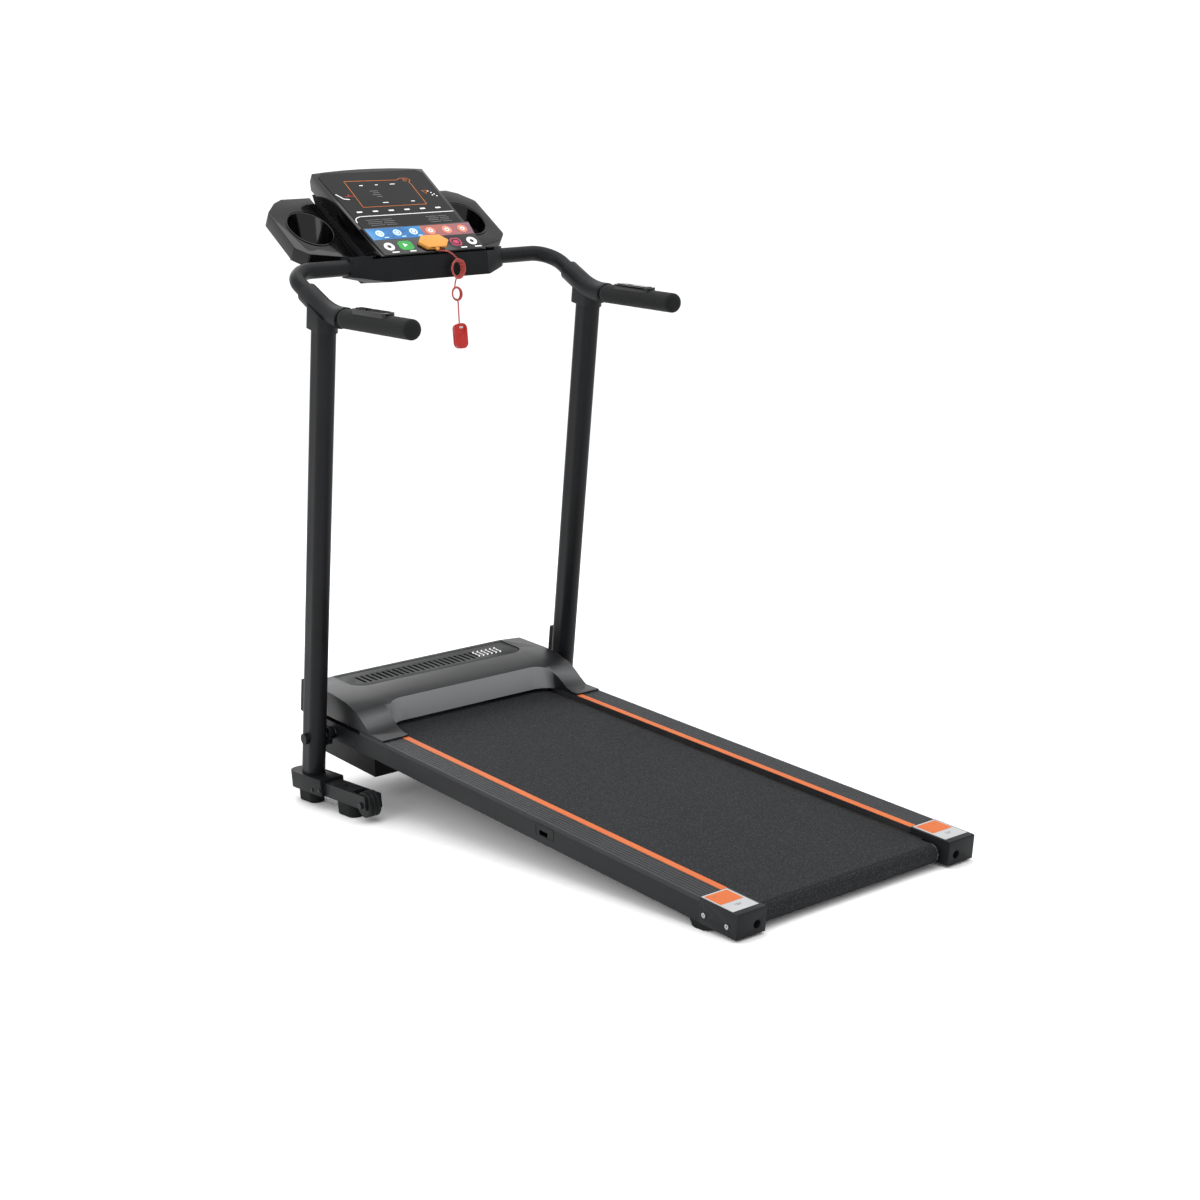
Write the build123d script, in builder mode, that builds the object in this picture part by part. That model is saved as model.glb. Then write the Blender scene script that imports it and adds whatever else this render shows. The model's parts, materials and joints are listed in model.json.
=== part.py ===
"""Folding home treadmill: a stand with two leaned uprights, and a running deck that folds up."""
import math
import os
from build123d import *

os.makedirs("parts", exist_ok=True)

# ---- driving dimensions, millimetres: X across, Y forward to the console, Z up, floor at Z = 0 ----
DECK_TILT = 5.6              # running deck's rise towards the front, degrees
DECK_REAR = (0, -719, 49.8)  # rear end of the rail tops
RAIL_OUT, RAIL_IN = 281.0, 218.0     # foot rail, outer and inner side
RAIL_DEEP = 46.0             # rail top to rail bottom
CAP_LONG = 94.0              # rear end cap
RAIL_END = 1205.0            # front end of the foot rails, under the hood
FRAME_IN = 241.0             # steel side frame, inner face
FRAME_FRONT = 1402.0         # front end of the side frames, along the deck
BELT_TOP, BELT_THICK, BELT_HALF = -9.0, 1.6, 206.0
ROLLER_R, ROLLER_T = 17.0, BELT_TOP - BELT_THICK - 17.0
REAR_ROLLER_S, FRONT_ROLLER_S = 34.0, 1255.0
AXLE_R = 6.0
PIVOT_S, PIVOT_T = 1316.3, -30.4     # fold pivot in the deck's own frame
SHAFT_R, RUN_FIT = 10.0, 0.05
HOOD_TIP, HOOD_BACK, HOOD_FRONT = 1112.0, 1209.0, 1421.0
PAN_DEEP = 108.0
UPRIGHT_X, UPRIGHT_LEAN = 326.0, 13.9
UPRIGHT_FOOT_Y = 634.8       # where the upright's axis meets the floor
TUBE_X, TUBE_Y, TUBE_WALL = 40.0, 60.0, 2.0
UPRIGHT_TOP = 1082.0         # along the upright
FOOT_W, FOOT_LOW, FOOT_HIGH = 40.0, 30.0, 60.0
FOOT_REAR, FOOT_SEAM, FOOT_FRONT = 370.0, 540.0, 690.0
WHEEL_R, WHEEL_W, WHEEL_Y, WHEEL_Z = 27.0, 27.0, 388.0, 38.0
BAR_R, GRIP_R = 16.5, 20.0
GRIP_END = (312, 77, 1008)   # right handlebar, bare end, mirrored for the left
BAR_EXIT = (321, 362, 1037.5)
BAR_BEND = (325, 510, 1126)
BAR_CONSOLE = (146, 510, 1126)
CONSOLE_FOOT = (0, 467, 1144)        # lower edge of the console's sloped face
CONSOLE_SLOPE = 37.0
FACE_LONG, SHELL_DEEP, WALL = 300.0, 34.0, 3.0
TRAY_TOP, TRAY_DEEP = -50.0, 32.0    # tray height under the face
KEY_X, KEY_V = 7.0, 24.0    # safety key on the keypad

tilt, lean, slope = (math.radians(a) for a in (DECK_TILT, UPRIGHT_LEAN, CONSOLE_SLOPE))
DECK = Plane(origin=DECK_REAR, x_dir=(1, 0, 0), z_dir=(0, -math.sin(tilt), math.cos(tilt)))
UPRIGHT = Plane(origin=(0, UPRIGHT_FOOT_Y, 0), x_dir=(1, 0, 0), z_dir=(0, -math.sin(lean), math.cos(lean)))
FACE = Plane(origin=CONSOLE_FOOT, x_dir=(1, 0, 0), z_dir=(0, -math.sin(slope), math.cos(slope)))
SIDES = {"left": -1, "right": 1}


def side_plane(frame, x):
    """Plane across X: its own X runs along the frame and its own Y out of the frame's face."""
    return Plane(origin=frame.from_local_coords((x, 0, 0)), x_dir=frame.y_dir, z_dir=(1, 0, 0))


def end_plane(frame, along):
    """Plane square to the frame's long direction, facing back along it."""
    return Plane(origin=frame.from_local_coords((0, along, 0)), x_dir=(1, 0, 0), z_dir=-frame.y_dir)


def save(piece, label):
    piece.part.label = label
    export_step(piece.part, f"parts/{label}.step")
    return piece.part


def prism_x(frame, points, x0, x1):
    """A closed outline in the frame's side view, extruded from x0 to x1."""
    with BuildPart() as body:
        with BuildSketch(side_plane(frame, x0)):
            with BuildLine():
                Polyline(*points, close=True)
            make_face()
        extrude(amount=x1 - x0)
    return body.part


def bar(frame, s, t, x0, x1, radius, bore=0):
    """A round bar or tube along X at (s, t) of the frame's side view."""
    with BuildPart() as body:
        with BuildSketch(side_plane(frame, x0)):
            with Locations((s, t)):
                Circle(radius)
                if bore:
                    Circle(bore, mode=Mode.SUBTRACT)
        extrude(amount=x1 - x0)
    return body.part


def block(frame, x, s, t):
    """A box from x, s and t ranges in a frame."""
    return prism_x(frame, [(s[0], t[0]), (s[1], t[0]), (s[1], t[1]), (s[0], t[1])], x[0], x[1])


def mirrored(span, side):
    return tuple(sorted(side * v for v in span))


WORLD = Plane.XY

# ================================ running deck ================================
pivot_y = DECK.from_local_coords((0, PIVOT_S, PIVOT_T)).Y
pivot_z = DECK.from_local_coords((0, PIVOT_S, PIVOT_T)).Z
print("fold pivot", round(pivot_y, 3), round(pivot_z, 3))

PORT_S, PORT_T = (530, 556), (-30, -21)
for name, side in SIDES.items():
    frame_x = mirrored((FRAME_IN, RAIL_OUT), side)
    with BuildPart() as side_frame:
        add(block(DECK, frame_x, (CAP_LONG + 0.2, FRAME_FRONT), (-RAIL_DEEP, -8)))
        hollow_x = mirrored((FRAME_IN + 2, RAIL_OUT - 2), side)
        add(block(DECK, hollow_x, (CAP_LONG, FRAME_FRONT - 30), (-RAIL_DEEP + 2, -10)), mode=Mode.SUBTRACT)
        add(bar(DECK, PIVOT_S, PIVOT_T, frame_x[0], frame_x[1], 13.5))
        add(bar(DECK, PIVOT_S, PIVOT_T, frame_x[0] - 1, frame_x[1] + 1, SHAFT_R + RUN_FIT), mode=Mode.SUBTRACT)
        if name == "left":
            add(block(DECK, (-RAIL_OUT - 1, -RAIL_OUT + 3), PORT_S, PORT_T), mode=Mode.SUBTRACT)
    save(side_frame, f"side_frame_{name}")

    with BuildPart() as foot_rail:
        rail_x = mirrored((RAIL_IN, RAIL_OUT), side)
        add(block(DECK, rail_x, (CAP_LONG + 0.2, RAIL_END), (-7.8, 0)))
        add(block(DECK, mirrored((RAIL_IN, RAIL_IN + 3), side), (CAP_LONG + 0.2, RAIL_END), (-10.4, -7.8)))
        for i in range(6):
            groove = mirrored((236 + 7 * i, 238 + 7 * i), side)
            add(block(DECK, groove, (CAP_LONG, HOOD_FRONT), (-1.2, 1)), mode=Mode.SUBTRACT)
    save(foot_rail, f"foot_rail_{name}")

    with BuildPart() as rear_cap:
        cap_x = mirrored((RAIL_IN - 0.5, RAIL_OUT + 0.5), side)
        add(prism_x(DECK, [(-3.3 - 0.098 * 0.6, 0.6), (CAP_LONG, 0.6), (CAP_LONG, -RAIL_DEEP),
                           (-3.3 + 0.098 * RAIL_DEEP, -RAIL_DEEP)], *cap_x))
        fillet(rear_cap.edges().filter_by(Axis.X).group_by(Axis.Y)[0], radius=3)
        well = mirrored((RAIL_IN + 4, RAIL_OUT - 4), side)
        add(block(DECK, well, (46, CAP_LONG + 1), (-RAIL_DEEP + 4, -4)), mode=Mode.SUBTRACT)
        axle_slot = mirrored((RAIL_IN - 2, RAIL_OUT - 30), side)
        add(block(DECK, axle_slot, (24, 47), (ROLLER_T - AXLE_R - 0.2, ROLLER_T + AXLE_R + 0.2)),
            mode=Mode.SUBTRACT)
        with BuildSketch(end_plane(DECK, 30)):
            with Locations((side * 237, ROLLER_T)):
                Circle(8)
        extrude(amount=60, mode=Mode.SUBTRACT)
        for s in (23, 82):
            with BuildSketch(side_plane(DECK, side * (RAIL_OUT + 1))):
                with Locations((s, -28)):
                    Circle(2.6)
            extrude(amount=-side * 12, mode=Mode.SUBTRACT)
    save(rear_cap, f"rear_cap_{name}")

with BuildPart() as deck_screws:
    for side in SIDES.values():
        for s in (23, 82):
            add(bar(DECK, s, -28, *mirrored((RAIL_OUT + 0.5, RAIL_OUT + 2.6), side), 4.6))
            add(bar(DECK, s, -28, *mirrored((RAIL_OUT - 10, RAIL_OUT + 0.5), side), 2.5))
            add(bar(DECK, s, -28, *mirrored((RAIL_OUT + 1.2, RAIL_OUT + 3), side), 2.2), mode=Mode.SUBTRACT)
        with BuildSketch(end_plane(DECK, 27.6)):
            with Locations((side * 237, ROLLER_T)):
                Circle(6.5)
        extrude(amount=9)
        with BuildSketch(end_plane(DECK, 18.6)):
            with Locations((side * 237, ROLLER_T)):
                RegularPolygon(3.2, 6)
        extrude(amount=-5, mode=Mode.SUBTRACT)
save(deck_screws, "deck_screws")



def floor_t(s):
    """Height of the floor in the deck's own frame."""
    return -(DECK_REAR[2] + s * math.sin(tilt)) / math.cos(tilt)


with BuildPart() as rear_feet:
    for side in SIDES.values():
        foot = mirrored((250, 279), side)
        add(prism_x(DECK, [(66, -RAIL_DEEP), (76, floor_t(76) + 4), (86, floor_t(86)), (108, floor_t(108)),
                           (117, floor_t(117) + 3), (124, -RAIL_DEEP)], *foot))
save(rear_feet, "rear_feet")

with BuildPart() as deck_board:
    add(block(DECK, (-216, 216), (60, FRONT_ROLLER_S - 26), (-25.8, -10.8)))
    add(block(DECK, (-236, 236), (CAP_LONG + 2, RAIL_END), (-25.8, -10.8)))
    add(block(DECK, (-240, -208), (RAIL_END, FRONT_ROLLER_S), (-30, 0)), mode=Mode.SUBTRACT)
save(deck_board, "deck_board")

with BuildPart() as cross_members:
    for s in (170, 480, 790, 1100):
        add(block(DECK, (-FRAME_IN, FRAME_IN), (s, s + 25), (-44.5, -28.9)))
        for x in (-200, 0, 200):
            with BuildSketch(DECK.offset(-28.9)):
                with Locations((x, s + 12.5)):
                    Circle(9)
            extrude(amount=3.1)
    add(block(DECK, (-FRAME_IN, FRAME_IN), (1290, 1296), (-100, -48)))
    add(block(DECK, (-236, -209), (1289, 1297), (-90, -40)), mode=Mode.SUBTRACT)
    add(block(DECK, (-FRAME_IN, -FRAME_IN + 4), (1290, 1400), (-100, -46)))
    add(block(DECK, (FRAME_IN - 4, FRAME_IN), (1290, 1400), (-100, -46)))
save(cross_members, "cross_members")

with BuildPart() as running_belt:
    with BuildSketch(side_plane(DECK, -BELT_HALF)):
        middle = (REAR_ROLLER_S + FRONT_ROLLER_S) / 2
        with Locations((middle, ROLLER_T)):
            run = FRONT_ROLLER_S - REAR_ROLLER_S
            outer = ROLLER_R + BELT_THICK
            SlotCenterToCenter(run, 2 * outer)
            SlotCenterToCenter(run, 2 * (ROLLER_R + 0.05), mode=Mode.SUBTRACT)
    extrude(amount=2 * BELT_HALF)
save(running_belt, "running_belt")

with BuildPart() as rear_roller:
    add(bar(DECK, REAR_ROLLER_S, ROLLER_T, -211, 211, ROLLER_R, AXLE_R + RUN_FIT))
save(rear_roller, "rear_roller")

PULLEY_R, MOTOR_PULLEY_R = 40.0, 14.0
with BuildPart() as front_roller:
    add(bar(DECK, FRONT_ROLLER_S, ROLLER_T, -211, 211, ROLLER_R, AXLE_R + RUN_FIT))
    add(bar(DECK, FRONT_ROLLER_S, ROLLER_T, -234, -211, PULLEY_R, AXLE_R + RUN_FIT))
    add(bar(DECK, FRONT_ROLLER_S, ROLLER_T, -231, -215, PULLEY_R + 1, PULLEY_R - 1.6), mode=Mode.SUBTRACT)
save(front_roller, "front_roller")

with BuildPart() as roller_axles:
    add(bar(DECK, REAR_ROLLER_S, ROLLER_T, -246, 246, AXLE_R))
    add(bar(DECK, FRONT_ROLLER_S, ROLLER_T, -FRAME_IN, FRAME_IN, AXLE_R))
save(roller_axles, "roller_axles")

MOTOR_S, MOTOR_T, MOTOR_R, ARMATURE_R = 1366.0, -58.0, 36.0, 5.0
with BuildPart() as motor:
    add(bar(DECK, MOTOR_S, MOTOR_T, -196, -2, MOTOR_R))
    add(bar(DECK, MOTOR_S, MOTOR_T, -202, -196, 14))
    add(block(DECK, (-170, -30), (MOTOR_S - 22, MOTOR_S + 22), (-PAN_DEEP + 3, MOTOR_T - MOTOR_R + 6)))
    add(bar(DECK, MOTOR_S, MOTOR_T, -203, 0, ARMATURE_R + RUN_FIT), mode=Mode.SUBTRACT)
save(motor, "motor")

with BuildPart() as motor_pulley:
    add(bar(DECK, MOTOR_S, MOTOR_T, -234, -206, MOTOR_PULLEY_R))
    add(bar(DECK, MOTOR_S, MOTOR_T, -231, -215, MOTOR_PULLEY_R + 1, MOTOR_PULLEY_R - 1.6), mode=Mode.SUBTRACT)
    add(bar(DECK, MOTOR_S, MOTOR_T, -206, -2, ARMATURE_R))
save(motor_pulley, "motor_pulley")


def belt_loop(big, small, grow):
    """Outline round two pulleys, given as (s, t, radius), standing off them by grow."""
    (s1, t1, r1), (s2, t2, r2) = big, small
    r1, r2 = r1 + grow, r2 + grow
    reach, turn = math.hypot(s2 - s1, t2 - t1), math.atan2(t2 - t1, s2 - s1)
    spread = math.acos((r1 - r2) / reach)
    ends = []
    for sign in (1, -1):
        a = turn + sign * spread
        ends.append(((s1 + r1 * math.cos(a), t1 + r1 * math.sin(a)),
                     (s2 + r2 * math.cos(a), t2 + r2 * math.sin(a))))
    back = (s1 - r1 * math.cos(turn), t1 - r1 * math.sin(turn))
    front = (s2 + r2 * math.cos(turn), t2 + r2 * math.sin(turn))
    with BuildLine() as loop:
        Line(ends[0][0], ends[0][1])
        ThreePointArc(ends[0][1], front, ends[1][1])
        Line(ends[1][1], ends[1][0])
        ThreePointArc(ends[1][0], back, ends[0][0])
    return loop.line


big = (FRONT_ROLLER_S, ROLLER_T, PULLEY_R - 1.6)
small = (MOTOR_S, MOTOR_T, MOTOR_PULLEY_R - 1.6)
with BuildPart() as drive_belt:
    with BuildSketch(side_plane(DECK, -230)):
        add(belt_loop(big, small, 4))
        make_face()
        with BuildSketch(mode=Mode.SUBTRACT):
            add(belt_loop(big, small, 0.3))
            make_face()
    extrude(amount=14)
save(drive_belt, "drive_belt")

with BuildPart() as control_board:
    for x in (24, 194):
        add(block(DECK, (x, x + 6), (1330, 1390), (-PAN_DEEP + 3, -98)))
    add(block(DECK, (20, 200), (1318, 1400), (-98, -96)))
    add(block(DECK, (30, 110), (1350, 1372), (-96, -56)))
    for x in (135, 165):
        with BuildSketch(DECK.offset(-96)):
            with Locations((x, 1372)):
                Circle(12)
        extrude(amount=32)
save(control_board, "control_board")

# ---- motor hood: two legs run back along the rails, with a rounded bay between them ----
LEG_TOP = [(1060, -30), (1060, 4), (1130, 5), (1150, 10.5), (1168, 21), (1186, 33), (1209, 46), (1250, 56),
           (1304, 61), (1450, 61.5), (1450, -30)]
LEG_HOLLOW = [(1188, -30), (1188, 24), (1212, 38), (1251, 48), (1305, 53), (1450, 53), (1450, -30)]
MID_HOLLOW = [(1188, -5), (1188, 24), (1212, 38), (1251, 48), (1305, 53), (HOOD_FRONT - 14, 53),
              (HOOD_FRONT - 3, 46), (HOOD_FRONT - 3, -5)]
LEG_SHIFT, LEG_FALL = 12.0, 6.0      # the leg's outer edge is this much further forward, and lower
BAY_R, BAY_LEAN, HOOD_OUT = 50.0, 0.22, RAIL_OUT - 1


def leg_body(outline, side, x, s, low=0.3):
    """A side outline swept out to the rail's edge at a slant, so that the top falls away outwards."""
    share = (x[1] - x[0]) / (HOOD_OUT - RAIL_IN)
    run = Vector(side * (x[1] - x[0]), 0, 0) + DECK.y_dir * LEG_SHIFT * share - DECK.z_dir * LEG_FALL * share
    with BuildPart() as body:
        with BuildSketch(side_plane(DECK, side * x[0])):
            with BuildLine():
                Polyline(*outline, close=True)
            make_face()
        extrude(amount=run.length, dir=run)
        add(block(DECK, (-300, 300), s, (low, 80)), mode=Mode.INTERSECT)
    return body.part


def vent_block(grow, low, high):
    """Vent opening in the roof between two heights: square at the front, rounded at its two rear corners."""
    with BuildPart() as body:
        with BuildSketch(DECK.offset(low)) as outline:
            with Locations((-3, sum(VENT_S) / 2)):
                Rectangle(443 + 2 * grow, VENT_S[1] - VENT_S[0] + 2 * grow)
            fillet(outline.vertices().group_by(Axis.Y)[0], radius=36 + grow)
        extrude(amount=high - low)
    return body.part


def bay(grow):
    """The bay between the legs: rounded at its two front corners, its front wall leaning forward as it rises."""
    rise = DECK.z_dir + DECK.y_dir * BAY_LEAN
    with BuildPart() as body:
        with BuildSketch(DECK.offset(-6)) as plan:
            with Locations((0, (1000 + HOOD_BACK + grow) / 2)):
                Rectangle(2 * (RAIL_IN + grow), HOOD_BACK + grow - 1000)
            fillet(plan.vertices().group_by(Axis.Y)[-1], radius=BAY_R + grow)
        extrude(amount=90, dir=rise)
    return body.part


VENT_S, VENT_FLOOR = (1305.0, 1410.0), 57.0
with BuildPart() as hood_cavity:
    add(prism_x(DECK, MID_HOLLOW, -RAIL_IN, RAIL_IN))
    for side in SIDES.values():
        add(leg_body(LEG_HOLLOW, side, (RAIL_IN, HOOD_OUT - 3), (1180, HOOD_FRONT - 3), -5))
    add(bay(3), mode=Mode.SUBTRACT)
with BuildPart() as hood:
    for side in SIDES.values():
        add(leg_body(LEG_TOP, side, (RAIL_IN, HOOD_OUT), (HOOD_TIP, HOOD_FRONT)))
        add(block(DECK, mirrored((RAIL_IN, HOOD_OUT), side), (HOOD_TIP, 1155), (0.3, 3.6)))
    add(prism_x(DECK, [(s, max(h, 0.3)) for s, h in LEG_TOP if s > HOOD_TIP and s < HOOD_FRONT]
                + [(HOOD_FRONT, 61.5), (HOOD_FRONT, 0.3), (1130, 0.3)], -RAIL_IN, RAIL_IN))
    add(bay(0), mode=Mode.SUBTRACT)
    add(hood_cavity.part, mode=Mode.SUBTRACT)
    add(prism_x(DECK, [(HOOD_FRONT - 8, 62), (HOOD_FRONT, 53), (1440, 53), (1440, 62)], -300, 300),
        mode=Mode.SUBTRACT)
    add(vent_block(0, VENT_FLOOR, 80), mode=Mode.SUBTRACT)
    add(vent_block(-7, 40, 60), mode=Mode.SUBTRACT)
save(hood, "hood")

with BuildPart() as vent_panel:
    add(vent_block(-0.4, VENT_FLOOR, VENT_FLOOR + 2.4))
    for i in range(23):
        x = -190 + 13.5 * i
        add(block(DECK, (x, x + 6), (1330, 1378), (50, 70)), mode=Mode.SUBTRACT)
save(vent_panel, "vent_panel")

with BuildPart() as belly_pan:
    outer = [(1202, -47), (1202, -PAN_DEEP), (1412, -PAN_DEEP), (HOOD_FRONT, -96), (HOOD_FRONT, 0),
             (FRAME_FRONT + 2, 0), (FRAME_FRONT + 2, -47)]
    add(prism_x(DECK, outer, -250, 250))
    add(block(DECK, (-247, 247), (1205, FRAME_FRONT + 2), (-PAN_DEEP + 3, -40)), mode=Mode.SUBTRACT)
    add(block(DECK, (-247, 247), (FRAME_FRONT, HOOD_FRONT - 3), (-94, 4)), mode=Mode.SUBTRACT)
    add(block(DECK, (180, 230), (HOOD_FRONT - 4, HOOD_FRONT + 1), (-60, -24)), mode=Mode.SUBTRACT)
save(belly_pan, "belly_pan")

INLET = (-54, -30)
with BuildPart() as power_inlet:
    add(block(DECK, (180.2, 229.8), (HOOD_FRONT - 2.5, HOOD_FRONT - 0.5), (-59.8, -24.2)))
    add(block(DECK, (183, 208), (HOOD_FRONT - 20, HOOD_FRONT - 2.5), (-56, -28)))
    add(block(DECK, (186, 205), (HOOD_FRONT - 16, HOOD_FRONT), (-50, -34)), mode=Mode.SUBTRACT)
    add(block(DECK, (212, 228), (HOOD_FRONT - 4, HOOD_FRONT), (-55, -29)), mode=Mode.SUBTRACT)
save(power_inlet, "power_inlet")

SWITCH_S, SWITCH_T = HOOD_FRONT - 3.0, -42.0
with BuildPart() as rocker_switch:
    add(prism_x(DECK, [(SWITCH_S - 7, -48), (SWITCH_S - 7, -36), (SWITCH_S + 1.6, -30.5), (SWITCH_S + 0.2, -42),
                       (SWITCH_S + 1.6, -53.5)], 213, 227))
save(rocker_switch, "rocker_switch")

# ================================ stand ================================
bar_rise = math.atan2(BAR_BEND[2] - BAR_EXIT[2], BAR_BEND[1] - BAR_EXIT[1])
SLEEVE = Plane(origin=(0, BAR_EXIT[1], BAR_EXIT[2]), x_dir=(1, 0, 0),
               z_dir=(0, -math.sin(bar_rise), math.cos(bar_rise)))      # runs along the bar over the upright
PIN_CAP_R, SLEEVE_R = 12.0, 22.0
SLEEVE_S = (-46, 90)        # the joint cover reaches this far each way along the bar
for name, side in SIDES.items():
    with BuildPart() as upright:
        with BuildSketch(UPRIGHT.offset(34)):
            with Locations((side * UPRIGHT_X, 0)):
                SlotOverall(TUBE_Y, TUBE_X, rotation=90)
                SlotOverall(TUBE_Y - 2 * TUBE_WALL, TUBE_X - 2 * TUBE_WALL, rotation=90, mode=Mode.SUBTRACT)
        extrude(amount=UPRIGHT_TOP - 34)
        add(block(WORLD, mirrored((300, 352), side), (500, 700), (0, FOOT_HIGH)), mode=Mode.SUBTRACT)
        add(bar(WORLD, pivot_y, pivot_z, *mirrored((300, 352), side), SHAFT_R + RUN_FIT), mode=Mode.SUBTRACT)
        add(block(SLEEVE, mirrored((300, 352), side), (-40, 120), (-BAR_R - 1.0, 60)), mode=Mode.SUBTRACT)
    save(upright, f"upright_{name}")

    inner, outer = UPRIGHT_X - FOOT_W / 2, UPRIGHT_X + FOOT_W / 2
    with BuildPart() as base_foot:
        add(block(WORLD, mirrored((inner, outer), side), (FOOT_REAR, 664), (FOOT_LOW, FOOT_HIGH)))
        add(block(WORLD, mirrored((inner + 2, outer - 2), side), (442, 662), (FOOT_LOW + 2, FOOT_HIGH - 2)),
            mode=Mode.SUBTRACT)
        add(block(WORLD, mirrored((inner + 5, outer - 5), side), (FOOT_REAR - 1, 430), (0, 80)), mode=Mode.SUBTRACT)
        add(bar(WORLD, WHEEL_Y, WHEEL_Z, *mirrored((300, 352), side), 4.05), mode=Mode.SUBTRACT)
    save(base_foot, f"base_foot_{name}")

CAP_R, CAP_HIGH = 28.0, 66.0
with BuildPart() as foot_end_caps:
    for side in SIDES.values():
        with BuildSketch(Plane.XY.offset(FOOT_LOW)):
            with Locations((side * UPRIGHT_X, FOOT_FRONT - CAP_R)):
                Circle(CAP_R)
            with Locations((side * UPRIGHT_X, (FOOT_SEAM + FOOT_FRONT - CAP_R) / 2)):
                Rectangle(2 * CAP_R, FOOT_FRONT - CAP_R - FOOT_SEAM)
        extrude(amount=CAP_HIGH - FOOT_LOW)
    for side in SIDES.values():
        add(block(WORLD, mirrored((UPRIGHT_X - 20, UPRIGHT_X + 20), side), (FOOT_SEAM - 1, 664), (0, FOOT_HIGH)),
            mode=Mode.SUBTRACT)
        with BuildSketch(UPRIGHT.offset(34)):
            with Locations((side * UPRIGHT_X, 0)):
                SlotOverall(TUBE_Y + 0.4, TUBE_X + 0.4, rotation=90)
        extrude(amount=60, mode=Mode.SUBTRACT)
save(foot_end_caps, "foot_end_caps")

with BuildPart() as foot_pads:
    for side in SIDES.values():
        for y in (468, 636):
            with BuildSketch(Plane.XY):
                with Locations((side * UPRIGHT_X, y)):
                    SlotOverall(72, 34, rotation=90)
            extrude(amount=FOOT_LOW)
    fillet(foot_pads.faces().group_by(Axis.Z)[0].edges(), radius=3)
save(foot_pads, "foot_pads")

with BuildPart() as wheel_axles:
    for side in SIDES.values():
        add(bar(WORLD, WHEEL_Y, WHEEL_Z, *mirrored((UPRIGHT_X - 23, UPRIGHT_X + 23), side), 4))
        add(bar(WORLD, WHEEL_Y, WHEEL_Z, *mirrored((UPRIGHT_X + 20, UPRIGHT_X + 24), side), 7))
        add(bar(WORLD, WHEEL_Y, WHEEL_Z, *mirrored((UPRIGHT_X - 24, UPRIGHT_X - 20), side), 6.5))
save(wheel_axles, "wheel_axles")

for name, side in SIDES.items():
    with BuildPart() as wheel:
        middle = side * UPRIGHT_X
        with BuildSketch(side_plane(Plane(origin=(0, WHEEL_Y, WHEEL_Z)), middle)):
            Circle(WHEEL_R)
            Circle(4.1, mode=Mode.SUBTRACT)
        extrude(amount=WHEEL_W / 2, both=True)
        for offset_x in (-5, 5):
            with BuildSketch(side_plane(Plane(origin=(0, WHEEL_Y, WHEEL_Z)), middle + offset_x)):
                Circle(WHEEL_R + 1)
                Circle(WHEEL_R - 2.5, mode=Mode.SUBTRACT)
            extrude(amount=1, both=True, mode=Mode.SUBTRACT)
    save(wheel, f"wheel_{name}")

with BuildPart() as frame_bolts:
    for side in SIDES.values():
        for y, z in ((FOOT_SEAM + 40, 38), (FOOT_SEAM + 8, 42)):
            add(bar(WORLD, y, z, *mirrored((UPRIGHT_X + CAP_R, UPRIGHT_X + CAP_R + 2), side), 4.2))
        with BuildSketch(Plane.XY.offset(FOOT_HIGH)):
            with Locations((side * UPRIGHT_X, 486)):
                Circle(5.5)
        extrude(amount=3.5)
save(frame_bolts, "frame_bolts")

with BuildPart() as pivot_shaft:
    add(bar(WORLD, pivot_y, pivot_z, -UPRIGHT_X - 24, UPRIGHT_X + 24, SHAFT_R))
save(pivot_shaft, "pivot_shaft")

BUMPER_UP, BUMPER_LONG = 236.0, 72.0
with BuildPart() as upright_caps:
    for side in SIDES.values():
        face_x = UPRIGHT_X + TUBE_X / 2
        add(bar(WORLD, pivot_y, pivot_z, *mirrored((face_x + 0.1, face_x + 9), side), PIN_CAP_R, SHAFT_R + 0.0))
        add(bar(WORLD, pivot_y, pivot_z, *mirrored((face_x + 4, face_x + 9), side), PIN_CAP_R - 0.5))
        add(bar(WORLD, pivot_y, pivot_z, *mirrored((face_x - 1, face_x + 4), side), SHAFT_R), mode=Mode.SUBTRACT)
        add(block(UPRIGHT, mirrored((UPRIGHT_X - 11, UPRIGHT_X + 11), side), (18, TUBE_Y / 2 + 12),
                  (BUMPER_UP - BUMPER_LONG / 2, BUMPER_UP + BUMPER_LONG / 2)))
        with BuildSketch(UPRIGHT.offset(BUMPER_UP - BUMPER_LONG)):
            with Locations((side * UPRIGHT_X, 0)):
                SlotOverall(TUBE_Y + 0.1, TUBE_X + 0.1, rotation=90)
        extrude(amount=2 * BUMPER_LONG, mode=Mode.SUBTRACT)
save(upright_caps, "upright_caps")

LOCK_OUT, LOCK_IN = 304.0, 284.0
with BuildPart() as lock_knob:
    with BuildSketch(Plane(origin=(-LOCK_OUT, pivot_y, pivot_z), x_dir=(0, 1, 0), z_dir=(1, 0, 0))):
        Circle(15)
        with PolarLocations(15, 3, start_angle=30):
            Circle(9.5)
        Circle(SHAFT_R + 0.1, mode=Mode.SUBTRACT)
    extrude(amount=13)
    add(bar(WORLD, pivot_y, pivot_z, -LOCK_OUT + 13, -LOCK_IN, 14.5, SHAFT_R + 0.1))
save(lock_knob, "lock_knob")

# ---- handlebars: each runs from the console out, down through its cover and back into the grip ----
BEND_RADII = (200.0, 52.0)


def bar_body(route, radius):
    """A solid round body along the handlebar's route."""
    with BuildPart() as body:
        with BuildLine() as path:
            FilletPolyline(*route, radius=BEND_RADII)
        with BuildSketch(Plane(origin=path.line @ 0, z_dir=path.line % 0)):
            Circle(radius)
        sweep()
    return body.part


def sleeve_body(route, x):
    """The part of the joint cover that wraps the bar."""
    with BuildPart() as body:
        add(bar_body(route, SLEEVE_R))
        add(block(SLEEVE, x, SLEEVE_S, (-60, 60)), mode=Mode.INTERSECT)
    return body.part


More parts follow.
